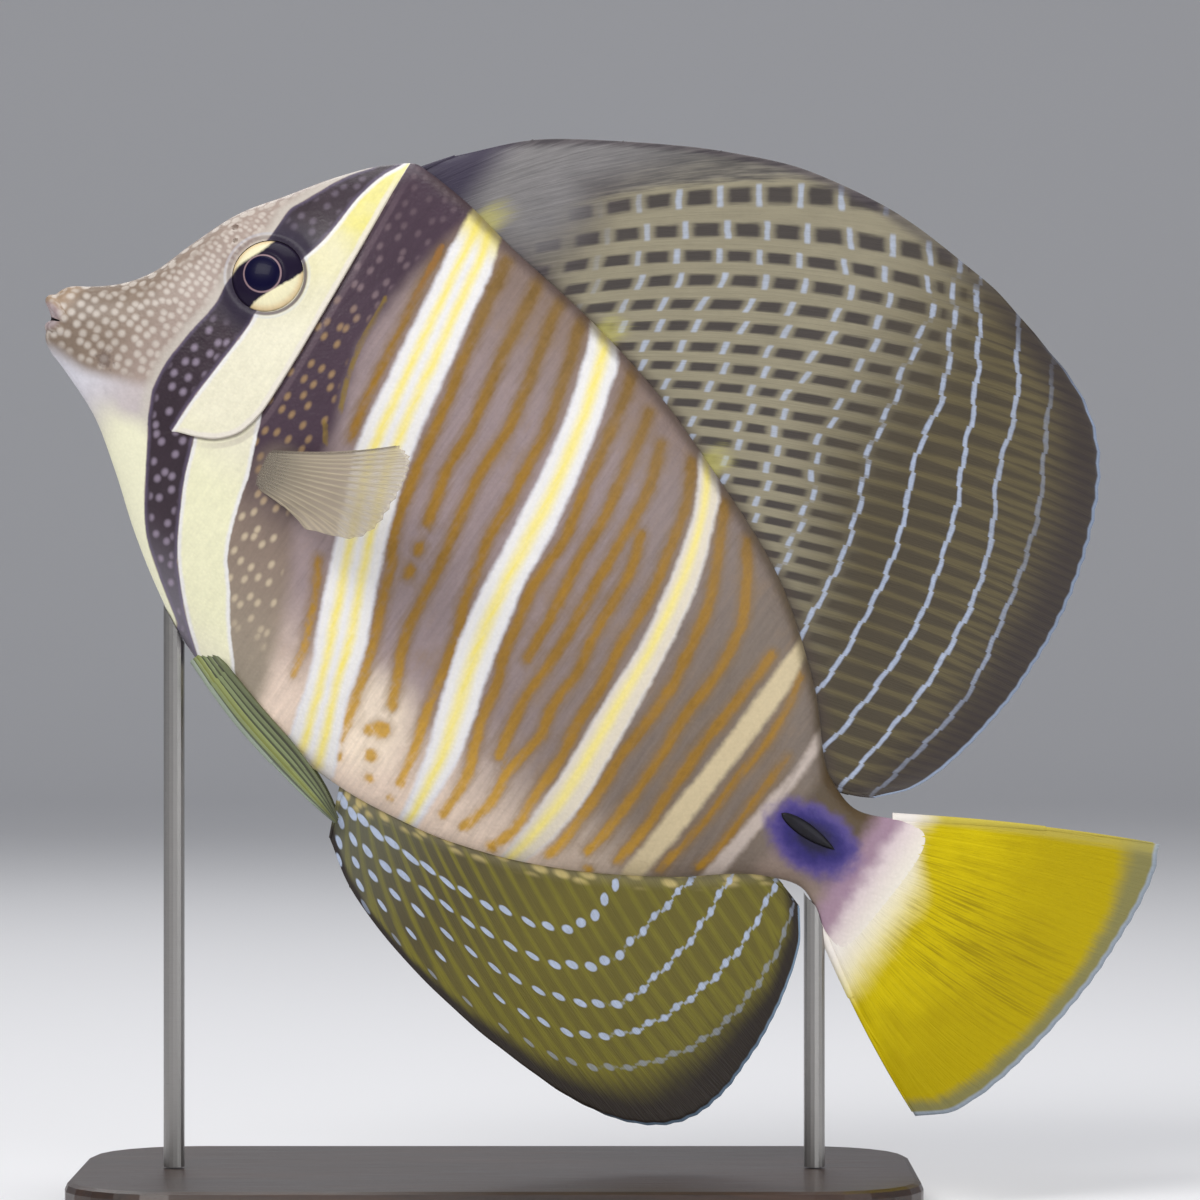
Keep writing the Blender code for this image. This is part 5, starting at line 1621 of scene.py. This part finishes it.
def dorsal_rays(p, top, off_row):
    """Broad pale rays with dark dashes between them in front, fine olive strands behind."""
    rear = p.smooth(p.u + p.soft * 5.0 - p.smooth(p.from_root, 34.0, 4.0) * 13.0, 128, 163)
    dash = p.smooth(p.on_ray + p.lines * 0.16, 0.62, 0.30) * p.smooth(off_row + p.fine * 0.3, 0.7, 2.4, 0.15, 1.0)
    ahead = p.mix(dash * (1.0 - top), p.sizes.ray_colour, p.sizes.membrane)
    behind = p.mix(p.smooth(p.on_strand + p.lines * 0.5, 0.05, 0.9), (0.275, 0.24, 0.175), (0.365, 0.325, 0.215))
    streaky = p.mix(p.smooth(p.lines, -0.4, 0.4), (0.27, 0.255, 0.265), (0.46, 0.44, 0.41))
    tone = p.mix(top * 0.85, p.mix(rear, ahead, behind), streaky)
    return p.mix(p.smooth(p.from_root, 5.0, 0.5) * 0.75, tone, (0.28, 0.23, 0.20))


def dorsal_marks(p, tone, top, off_row):
    """White-blue marks: short bars between the rays in front, wavy lines right across behind."""
    u, w, soft = p.u, p.w, p.soft
    mark = p.smooth(off_row, p.smooth(u, 130, 160, 0.9, 0.72), 0.22)
    mark = mark * p.highest(p.smooth(p.on_ray, 0.72, 0.5), p.smooth(u, 142, 165))
    mark = mark * p.smooth(u + w * 0.35, 104, 126) * p.smooth(p.row + soft * 0.1, 0.35, 0.6)
    mark = mark * p.smooth(u, 140, 165, 0.7, 0.85) * (1.0 - top)
    mark = mark * (1.0 - p.smooth(p.row, 2.7, 0.7) * p.smooth(w + soft * 3.0, 46, 74) * 0.65)
    return p.mix(mark * (p.fine * 0.25 + 0.85), tone, p.sizes.mark)


def dorsal_front(p, tone):
    """Plain front with a grey-beige haze that runs on along the top, under a streaky dark edge."""
    u, soft, lines = p.u, p.soft, p.lines
    streak = p.mix(p.smooth(lines, -0.5, 0.5), (0.20, 0.17, 0.20), (0.37, 0.34, 0.35))
    tone = p.mix(p.smooth(u + soft * 3, 90, 70) * 0.85, tone, streak)
    haze = p.smooth(p.ray + lines * 0.5, 4.3, 2.6) * p.smooth(u + soft * 3.0, 128, 84)
    haze = p.highest(haze, p.smooth(p.away(66, 74) + lines * 3.0, 18, 6))
    hazy = p.mix(p.smooth(u, 68, 100), (0.51, 0.50, 0.50), (0.31, 0.30, 0.305))
    tone = p.mix(haze * 0.8, tone, p.shade(hazy, lines * 0.3))
    edge = p.smooth(p.from_edge + soft * 1.5 + lines * 2.0, 7.0, 1.5) * p.smooth(u, 165, 120)
    return p.mix(p.smooth(u, 62, 54), p.mix(edge * 0.8, tone, streak), (0.21, 0.18, 0.26))


def dorsal_edges(p, tone):
    """Darker towards the margin behind, with a thin blue-white edge, and yellow where the bars meet the fin."""
    u, w, soft, lines = p.u, p.w, p.soft, p.lines
    shadow = p.smooth(p.from_edge + soft * 1.5 + lines, 14, 3.0) * p.smooth(u, 130, 172)
    tone = p.mix(shadow * 0.8, tone, (0.18, 0.145, 0.155))
    tone = p.mix(p.smooth(p.from_edge, 0.9, 0.4) * p.smooth(u, 165, 188) * 0.8, tone, (0.60, 0.66, 0.76))
    for at_u, at_w in BAR_TOPS:
        off_bar = abs((u - at_u) * 0.93 - (w - at_w) * 0.36) + lines * 0.9 + soft
        streaky = p.smooth(off_bar, 3.6, 1.0) * p.smooth(p.from_root + lines * 4.0, 10, 1.5)
        tone = p.mix(streaky * 0.7, tone, (0.74, 0.71, 0.40))
    return tone


def dorsal_material(sizes):
    p = SailPaint("tang_dorsal_fin")
    p.sizes = sizes
    # Between the first rays there are no dashes and no marks, only streaks
    top = p.smooth(p.ray + p.lines * 0.2, 4.2, 3.9)
    off_row = p.off_rows(p.odd * p.smooth(p.u, 168, 128, 0.35, 1.5) + p.noise(p.place, 2.5, 1.0) * 0.35)
    tone = dorsal_marks(p, dorsal_rays(p, top, off_row), top, off_row)
    return p.finished(dorsal_edges(p, dorsal_front(p, tone)), 0.10)


def anal_ground(p):
    """Olive strands on a darker membrane, blots near the root and a dark margin."""
    u, soft, lines = p.u, p.soft, p.lines
    membrane = p.mix(p.smooth(u + soft * 4.0, 126, 158), (0.31, 0.275, 0.16), (0.40, 0.365, 0.11))
    tone = p.mix(p.smooth(p.on_strand + lines * 0.5, 0.0, 0.9), membrane, p.sizes.anal)
    tone = p.mix(p.smooth(u + soft * 3, 136, 104) * 0.6, tone, (0.41, 0.42, 0.36))
    tone = p.mix(p.smooth(p.from_root, 5.0, 0.8) * 0.5, tone, (0.58, 0.54, 0.42))
    blots = p.spots(p.joined(p.ray, p.from_root * 0.33), 1.3, 0.28, 0.7, 0.14) * p.smooth(p.from_root, 5.0, 3.0)
    tone = p.mix(blots * 0.7, tone, (0.84, 0.76, 0.50))
    margin = p.smooth(u, 118, 172, 5.0, 15.0) * p.smooth(p.w, -28, -56, 0.5, 1.0)
    return p.mix(p.smooth(p.from_edge + soft * 1.5, margin, margin * 0.3) * 0.95, tone, (0.12, 0.075, 0.085))


def anal_marks(p, tone):
    """Rows of round white-blue dots between the rays, run together into thin lines behind."""
    u, row = p.u, p.row
    rear = p.smooth(u + p.w * 0.5 + p.soft * 2.0, 142, 157)
    off_row = p.off_rows(p.odd * 0.5 + p.noise(p.place, 3.0, 1.0) * 0.25)
    aside = abs(p.calc("FRACT", p.ray) - 0.5) * p.value("ray_gap") * p.smooth(u, 118, 150, 0.62, 1.0)
    off_dot = p.distance(off_row, aside) + p.fine * 0.12
    beads = p.smooth(off_row + p.smooth(p.on_ray, 0.2, 0.9) * 0.15, 0.62, 0.2) * rear * 0.75
    mark = p.highest(p.smooth(off_dot + rear * 0.3, 1.25, 0.85), beads) * p.smooth(row, 4.6, 4.3)
    mark = mark * p.smooth(row, -0.45, -0.25) * p.smooth(row, 0.3, 0.7, 0.4, 1.0)
    return p.mix(mark * (p.fine * 0.2 + 0.85), tone, p.sizes.mark)


def anal_material(sizes):
    p = SailPaint("tang_anal_fin")
    p.sizes = sizes
    tone = anal_marks(p, anal_ground(p))
    tone = p.mix(p.smooth(p.from_edge, 0.8, 0.4) * p.smooth(p.u, 180, 192) * 0.8, tone, (0.52, 0.62, 0.72))
    return p.finished(tone, 0.12)


def tail_material(sizes):
    """Lemon yellow with a dusky middle and rim, white at the root."""
    p = FinPaint("tang_tail_fin", 7.0, (7.0, 0.06, 4.0, 0.65), roughness=0.5, coat=0.02, specular=0.12)
    u, w, soft, lines = p.u, p.w, p.soft, p.lines
    fine = p.noise(p.place, 1.0, 3.0, 0.6)
    tone = p.mix(p.smooth(lines + soft * 0.6, -0.2, 0.6) * 0.6, sizes.tail, (0.62, 0.54, 0.0))
    tone = p.mix(p.smooth(p.on_strand, 0.55, 1.0) * 0.25, tone, (0.90, 0.82, 0.10))
    tone = p.mix(p.smooth(p.from_root + soft * 8.0, 14, 38) * 0.8, tone, (0.68, 0.595, 0.0))
    dusk = p.smooth(p.away(224, 0.0, squeeze=0.5), 18, 5) * p.smooth(lines, -0.15, 0.35)
    tone = p.mix(dusk * 0.65, tone, (0.50, 0.42, 0.03))
    rim = (p.from_edge + soft * 1.2 + lines) * p.smooth(w, 6, 34, 1.0, 0.55)
    tone = p.mix(p.smooth(rim, 5.0, 2.0) * 0.75, tone, (0.44, 0.45, 0.36))
    tone = p.mix(p.smooth(p.ray + lines * 0.4, 0.8, 0.2) * 0.6, tone, (0.72, 0.67, 0.36))
    tone = p.mix(p.smooth(p.from_edge, 1.3, 0.6) * 0.65, tone, (0.64, 0.70, 0.80))
    white = p.smooth(u + soft * 2.2 + lines * 2.4 + p.smooth(w, 2, 13) * 8.0, 214.5, 207.5)
    tone = p.mix(white, tone, p.mix(p.smooth(u, 212, 202), (0.93, 0.88, 0.62), (0.94, 0.91, 0.88)))
    tone = p.shade(tone, soft * 0.06 + lines * 0.12 + fine * 0.04)
    return p.done(tone, p.bump(lines, 0.10), p.smooth(fine, -1.0, 1.0, 0.42, 0.58))


def pectoral_material(sizes):
    """Grey-cream and a little see-through."""
    p = FinPaint("tang_pectoral_fin", 7.0, (7.0, 0.08, 4.0, 0.65), roughness=0.45, coat=0.1, specular=0.3)
    tone = p.mix(p.smooth(p.on_strand, 0.3, 0.9) * 0.6, sizes.pectoral, (0.88, 0.83, 0.72))
    tone = p.mix(p.smooth(p.value("share"), 0.40, 0.05) * 0.6, tone, (0.42, 0.39, 0.37))
    tone = p.mix(p.smooth(p.ray, 0.8, 0.1) * 0.5, tone, (0.40, 0.36, 0.34))
    p.set_shader("Alpha", 0.48)
    return p.done(p.shade(tone, p.soft * 0.08 + p.lines * 0.12), p.bump(p.lines, 0.06))


def pelvic_material(sizes):
    """Olive rays with a yellow streak and a grey rear edge."""
    p = FinPaint("tang_pelvic_fin", 6.0, (5.0, 0.08, 4.0, 0.65))
    tone = p.mix(p.smooth(p.on_ray + p.lines * 0.2, 0.6, 0.25) * 0.75, sizes.pelvic, (0.16, 0.15, 0.12))
    tone = p.mix(p.smooth(p.ray, 1.6, 0.4) * 0.45, tone, (0.18, 0.16, 0.14))
    tone = p.mix(p.smooth(abs(p.ray - 3.4), 0.8, 0.2) * 0.5, tone, (0.62, 0.64, 0.30))
    tone = p.mix(p.smooth(p.ray, 4.2, 5.0) * 0.6, tone, (0.60, 0.64, 0.62))
    tone = p.mix(p.smooth(p.value("share"), 0.70, 0.98) * 0.6, tone, (0.22, 0.21, 0.16))
    return p.done(p.shade(tone, p.soft * 0.10 + p.lines * 0.14), p.bump(p.lines, 0.08))


class TANG_OT_sail_fins(bpy.types.Operator):
    """Makes the dorsal and the anal fin with their rays"""

    bl_idname = "tang.sail_fins"
    bl_label = "Sail fins"

    def execute(self, context):
        sizes = context.scene.tang_fins
        for name, fin, side, thick, rows, material, marks in (
            ("dorsal", DORSAL, 1, 0.92, 66, dorsal_material, DORSAL_ROWS),
            ("anal", ANAL, -1, 0.85, 44, anal_material, ANAL_ROWS[::-1]),
        ):
            piece = make_fin(
                f"{name}_sail", sail_rule(fin, side), fin["rays"], taper(0.95, 0.17, 0.5), (thick, 0.24), (8, rows),
                material(sizes), sizes, spines=fin["spines"], marks=marks,
            )
            finish_piece(piece, (f"{name}_fin",))
        return {"FINISHED"}


class TANG_OT_tail_fin(bpy.types.Operator):
    """Makes the yellow tail fin with its rays"""

    bl_idname = "tang.tail_fin"
    bl_label = "Tail fin"

    def execute(self, context):
        sizes = context.scene.tang_fins
        fin = make_fin(
            "tail_fan", tail_rule(), TAIL_RAYS, taper(1.25, 0.18, 0.7), (1.35, 0.24), (10, 52),
            tail_material(sizes), sizes, fork_at=0.34,
        )
        finish_piece(fin, ("tail_fin",))
        return {"FINISHED"}


class TANG_OT_paired_fins(bpy.types.Operator):
    """Makes the breast fins and the belly fins"""

    bl_idname = "tang.paired_fins"
    bl_label = "Breast and belly fins"

    def execute(self, context):
        sizes = context.scene.tang_fins
        breast, under = pectoral_material(sizes), pelvic_material(sizes)
        for side, word in SIDES:
            fin = make_fin(
                f"pectoral_fan_{word}", pectoral_rule(side), PECTORAL_RAYS, taper(0.8, 0.14, 0.5), (0.62, 0.17),
                (6, 34), breast, sizes, fork_at=0.45,
            )
            finish_piece(fin, (f"pectoral_fin_{word}",))
            fin = make_fin(
                f"pelvic_blade_{word}", pelvic_rule(side), PELVIC_RAYS, taper(0.62, 0.2, 0.6), (0.8, 0.26),
                (10, 60), under, sizes, spines=1, fork_at=0.4,
            )
            finish_piece(fin, (f"pelvic_fin_{word}",))
        return {"FINISHED"}


# Eyes and tail spines


def eye_material(sizes):
    """The iris with the eye bar drawn on across it, the pupil and its pale ring, under a clear gloss."""
    p = FishPaint("tang_eye", roughness=0.35, coat=0.05, coat_roughness=0.06, specular=0.08)
    u, w, off_axis, off_pupil = p.u, p.w, p.value("off_axis"), p.value("off_pupil")
    fine = p.noise(p.place, 1.1, 3.0, 0.6)
    spokes = p.noise(p.joined(p.value("turn") * 14.0, off_axis * 0.25), 1.0, 2.0)
    front = p.smooth(u - p.smooth(w, 27, 37, 27.9, 30.9) + fine * 0.3, 0.4, -0.4)
    behind = p.smooth(u - p.smooth(w, 23, 37, 34.8, 39.6) + fine * 0.3, -0.3, 0.3)
    pale = p.highest(front, behind)
    iris = p.mix(pale, sizes.iris_dark, sizes.iris_pale)
    iris = p.mix(p.smooth(off_axis, 5.9, 7.2) * pale * 0.5, iris, (0.86, 0.68, 0.44))
    iris = p.mix(p.smooth(off_axis, 7.0, 7.6) * p.smooth(u, 27, 40, 0.45, 0.9), iris, (0.16, 0.12, 0.12))
    iris = p.shade(iris, fine * 0.08 + spokes * 0.06)
    radius = sizes.pupil_radius / MM
    iris = p.mix(p.smooth(abs(off_pupil - radius - 0.2), 0.28, 0.06) * 0.65, iris, sizes.pupil_ring)
    iris = p.mix(p.smooth(off_pupil, radius + 0.12, radius - 0.08), iris, sizes.pupil)
    return p.done(iris)


def make_eye(name, side, sizes):
    """One eye: a shallow ball that turns with the cheek, the pupil's lens bulging from it."""
    centre, outward = eye_place(side)
    eye = ellipsoid(name, centre, EYE_RADIUS - EYE_GAP, EYE_DEPTH, outward, 96, 64)
    mesh = eye.data
    fish = to_fish(mesh_points(mesh))
    axis = np.array(outward[:])
    from_centre = fish - np.array(centre[:])
    depth = from_centre @ axis
    off_axis = np.linalg.norm(from_centre - depth[:, None] * axis, axis=1)
    off_pupil = np.hypot(fish[:, 0] - PUPIL_U, fish[:, 2] - PUPIL_W)
    radius = sizes.pupil_radius / MM
    lens = LENS_BULGE * np.sqrt(np.clip(1 - (off_pupil / (radius * 1.02)) ** 2, 0, 1))
    dip = -IRIS_DIP * np.exp(-(((off_pupil - radius - 0.5) / 0.5) ** 2))
    fish = fish + axis * (np.where(depth > 0, lens, 0.0) + np.where(depth > 0, dip, 0.0))[:, None]
    mesh.vertices.foreach_set("co", to_row(fish).astype(np.float32).ravel())
    carried = {
        "fish": fish[:, [0, 2, 1]],
        "off_pupil": np.where(depth > 0, off_pupil, 9.0),
        "off_axis": off_axis,
        "turn": np.arctan2(fish[:, 2] - PUPIL_W, fish[:, 0] - PUPIL_U),
    }
    for key, values in carried.items():
        add_values(mesh, key, values)
    mesh.update()
    mesh.shade_smooth()
    return eye


class TANG_OT_eyes(bpy.types.Operator):
    """Makes both eyes"""

    bl_idname = "tang.eyes"
    bl_label = "Eyes"

    def execute(self, context):
        sizes = context.scene.tang_eyes
        material = eye_material(sizes)
        for side, word in SIDES:
            eye = make_eye(f"eyeball_{word}", side, sizes)
            finish_piece(eye, (f"eye_{word}",), material)
        return {"FINISHED"}


def spine_points(side, steps=26, sides=20):
    """Rings of the folded tail spine: a lancet with its point forward."""
    s = np.linspace(0, 1, steps + 1)
    u = SPINE_U - SPINE_LENGTH / 2 + SPINE_LENGTH * s
    y = flank(u, SPINE_W) + SPINE_PROUD - SPINE_THICKNESS / 2
    full = np.sin(np.pi * s[1:-1, None] ** 0.8) ** 0.75
    turn = 2 * np.pi * np.arange(sides) / sides
    edge = np.abs(np.cos(turn)) ** 1.3 * np.sign(np.cos(turn))
    out = y[1:-1, None] + SPINE_THICKNESS / 2 * (0.35 + 0.65 * full) * np.sin(turn)
    rings = np.stack([u[1:-1, None] + 0 * out, side * out, SPINE_W + SPINE_HEIGHT / 2 * full * edge], -1)
    tips = [(u[k], side * y[k], SPINE_W) for k in (0, -1)]
    return rings.reshape(-1, 3).tolist() + tips, tube_faces(*rings.shape[:2])


def spine_material():
    p = Paint("tang_tail_spine", roughness=0.5, coat=0.1, coat_roughness=0.3, specular=0.3)
    tone = p.mix(p.smooth(p.noise(p.place, 1.5, 3.0), -0.5, 0.8), (0.02, 0.015, 0.04), (0.07, 0.05, 0.12))
    return p.done(tone, p.bump(p.noise(p.place, 0.7, 2.0), 0.03))


class TANG_OT_tail_spines(bpy.types.Operator):
    """Makes the folded spine on either side of the tail stalk"""

    bl_idname = "tang.tail_spines"
    bl_label = "Tail spines"

    def execute(self, context):
        material = spine_material()
        for side, word in SIDES:
            spine = face_outwards(new_object(f"lancet_{word}", *spine_points(side)))
            shade_round(spine, 60)
            finish_piece(spine, (f"tail_spine_{word}",), material)
        return {"FINISHED"}


# Stand


def wood_material(sizes):
    """Dark stained wood with its grain along the base."""
    p = Paint("stand_wood", roughness=0.4, coat=0.35, coat_roughness=0.25, specular=0.45)
    x, y, z = p.parts(p.place)
    bend = p.noise(p.joined(x * 0.02, y * 0.12, z * 0.12), 1.0, 3.0)
    grain = p.noise(p.joined(x * 0.05, y * 1.1 + bend * 3.0, z * 1.1 + bend * 3.0), 1.0, 5.0, 0.62)
    pores = p.noise(p.joined(x * 0.22, y * 5.0, z * 5.0), 1.0, 3.0, 0.7)
    tone = p.mix(p.smooth(grain, -0.55, 0.6), (0.13, 0.075, 0.05), sizes.wood)
    tone = p.mix(p.smooth(bend + grain * 0.5, -0.4, 0.7) * 0.5, tone, (0.29, 0.18, 0.11))
    tone = p.mix(p.smooth(pores, 0.15, 0.5) * 0.5, tone, (0.07, 0.04, 0.03))
    normal = p.bump(pores * 0.5 + grain * 0.5, 0.06)
    return p.done(tone, normal, p.smooth(grain, -1.0, 1.0, 0.34, 0.5))


def steel_material(sizes):
    """Steel brushed round the rods."""
    p = Paint("stand_steel", roughness=0.3, specular=0.5)
    p.set_shader("Metallic", 1.0)
    x, y, z = p.parts(p.place)
    brushed = p.noise(p.joined(x * 0.4, y * 0.4, z * 9.0), 1.0, 3.0, 0.7)
    tone = p.shade(sizes.steel, brushed * 0.10)
    return p.done(tone, p.bump(brushed, 0.01), p.smooth(brushed, -1.0, 1.0, 0.24, 0.42))


class TANG_OT_stand(bpy.types.Operator):
    """Finishes the base and the rods of the display stand"""

    bl_idname = "tang.stand"
    bl_label = "Stand"

    def execute(self, context):
        sizes = context.scene.tang_stage
        wood, steel = wood_material(sizes), steel_material(sizes)
        for name, finish in (("stand_base", wood), ("stand_rod_front", steel), ("stand_rod_rear", steel)):
            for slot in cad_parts[name].material_slots:
                slot.material = finish
        return {"FINISHED"}


# Stage, in metres: the floor's half width, where it bends up, its bend's radius and its top
FLOOR_REACH, FLOOR_END, FLOOR_BEND, FLOOR_TOP = 6.0, 2.2, 0.9, 3.2
# The lamps all aim at the middle of the model: name, place, size, power and tint
MIDDLE = (0.0, 0.0, 0.12)
LAMPS = (
    ("key_light", (-0.55, -0.85, 0.95), (0.7, 0.5), 9.2, (1.0, 0.99, 0.97)),
    ("fill_light", (0.8, -0.9, 0.35), (0.8, 0.8), 4.3, (0.96, 0.98, 1.0)),
    ("back_light", (-0.3, 1.0, 0.95), (0.8, 0.6), 2.6, (1.0, 1.0, 1.0)),
    ("top_light", (0.1, 0.1, 1.2), (0.9, 0.7), 5.8, (1.0, 1.0, 1.0)),
)
SKY = {"Color": (0.93, 0.95, 1.0, 1.0), "Strength": 0.28}
# The camera's place along and over the base, the width that it sees at the fish, and its sensor in millimetres
CAMERA_X, CAMERA_Z, SEEN_WIDTH, SENSOR = -0.0003, 0.1216, 0.240, 36.0


def stage_sheet():
    """A pale floor that curves up into a backdrop."""
    turns = np.linspace(0.0, math.pi / 2, 16)
    outline = [(-FLOOR_REACH, 0.0)]
    outline += [(FLOOR_END + FLOOR_BEND * math.sin(a), FLOOR_BEND - FLOOR_BEND * math.cos(a)) for a in turns]
    outline += [(FLOOR_END + FLOOR_BEND, FLOOR_TOP)]
    mesh = bpy.data.meshes.new("stage_floor")
    points = [(x, y, z) for y, z in outline for x in (-FLOOR_REACH, FLOOR_REACH)]
    faces = [(2 * i, 2 * i + 1, 2 * i + 3, 2 * i + 2) for i in range(len(outline) - 1)]
    mesh.from_pydata(points, [], faces)
    mesh.shade_smooth()
    return add_object("stage_floor", mesh)


def soft_light(name, place, size, power, tint):
    lamp = bpy.data.lights.new(name, "AREA")
    lamp.shape = "RECTANGLE"
    lamp.size, lamp.size_y = size
    lamp.energy = power
    lamp.color = tint
    obj = add_object(name, lamp)
    obj.location = place
    obj.rotation_euler = (Vector(MIDDLE) - Vector(place)).to_track_quat("-Z", "Y").to_euler()


class TANG_OT_stage(bpy.types.Operator):
    """Adds the floor, the soft lights and the camera at the photograph's angle"""

    bl_idname = "tang.stage"
    bl_label = "Stage"

    def execute(self, context):
        sizes = context.scene.tang_stage
        floor = stage_sheet()
        p = Paint("stage_pale", roughness=0.8, specular=0.2)
        floor.data.materials.append(p.done(p.shade(sizes.floor, p.noise(p.place, 300.0) * 0.01)))
        for lamp in LAMPS:
            soft_light(*lamp)
        world = bpy.data.worlds.new("soft_sky")
        world.use_nodes = True
        for name, value in SKY.items():
            world.node_tree.nodes["Background"].inputs[name].default_value = value
        context.scene.world = world
        context.scene.view_settings.view_transform = "Standard"
        camera = bpy.data.cameras.new("photo_camera")
        camera.sensor_width = SENSOR
        camera.lens = SENSOR * sizes.camera_distance / SEEN_WIDTH
        camera.clip_start, camera.clip_end = 0.05, 20.0
        context.scene.camera = add_object("photo_camera", camera)
        context.scene.camera.location = (CAMERA_X, -sizes.camera_distance, CAMERA_Z)
        context.scene.camera.rotation_euler = (math.pi / 2, 0.0, 0.0)
        return {"FINISHED"}


OPERATORS = (
    TANG_OT_skin, TANG_OT_sail_fins, TANG_OT_tail_fin, TANG_OT_paired_fins, TANG_OT_eyes, TANG_OT_tail_spines,
    TANG_OT_stand, TANG_OT_stage,
)


class TANG_PT_panel(bpy.types.Panel):
    """Lists the pieces of the tang and their sizes and colours"""

    bl_idname = "TANG_PT_panel"
    bl_label = "Sailfin tang"
    bl_space_type = "VIEW_3D"
    bl_region_type = "UI"
    bl_category = "Tang"

    def draw(self, context):
        layout = self.layout
        for operator in OPERATORS:
            layout.operator(operator.bl_idname)
        for key, group in SETTINGS.items():
            box = layout.box()
            for name in group.__annotations__:
                box.prop(getattr(context.scene, key), name)


CLASSES = tuple(SETTINGS.values()) + OPERATORS + (TANG_PT_panel,)


def register():
    for cls in CLASSES:
        bpy.utils.register_class(cls)
    for key, group in SETTINGS.items():
        setattr(bpy.types.Scene, key, bpy.props.PointerProperty(type=group))


def unregister():
    for key in SETTINGS:
        delattr(bpy.types.Scene, key)
    for cls in reversed(CLASSES):
        bpy.utils.unregister_class(cls)


def main():
    register()
    for operator in OPERATORS:
        group, name = operator.bl_idname.split(".")
        getattr(getattr(bpy.ops, group), name)()


if __name__ == "__main__":
    main()
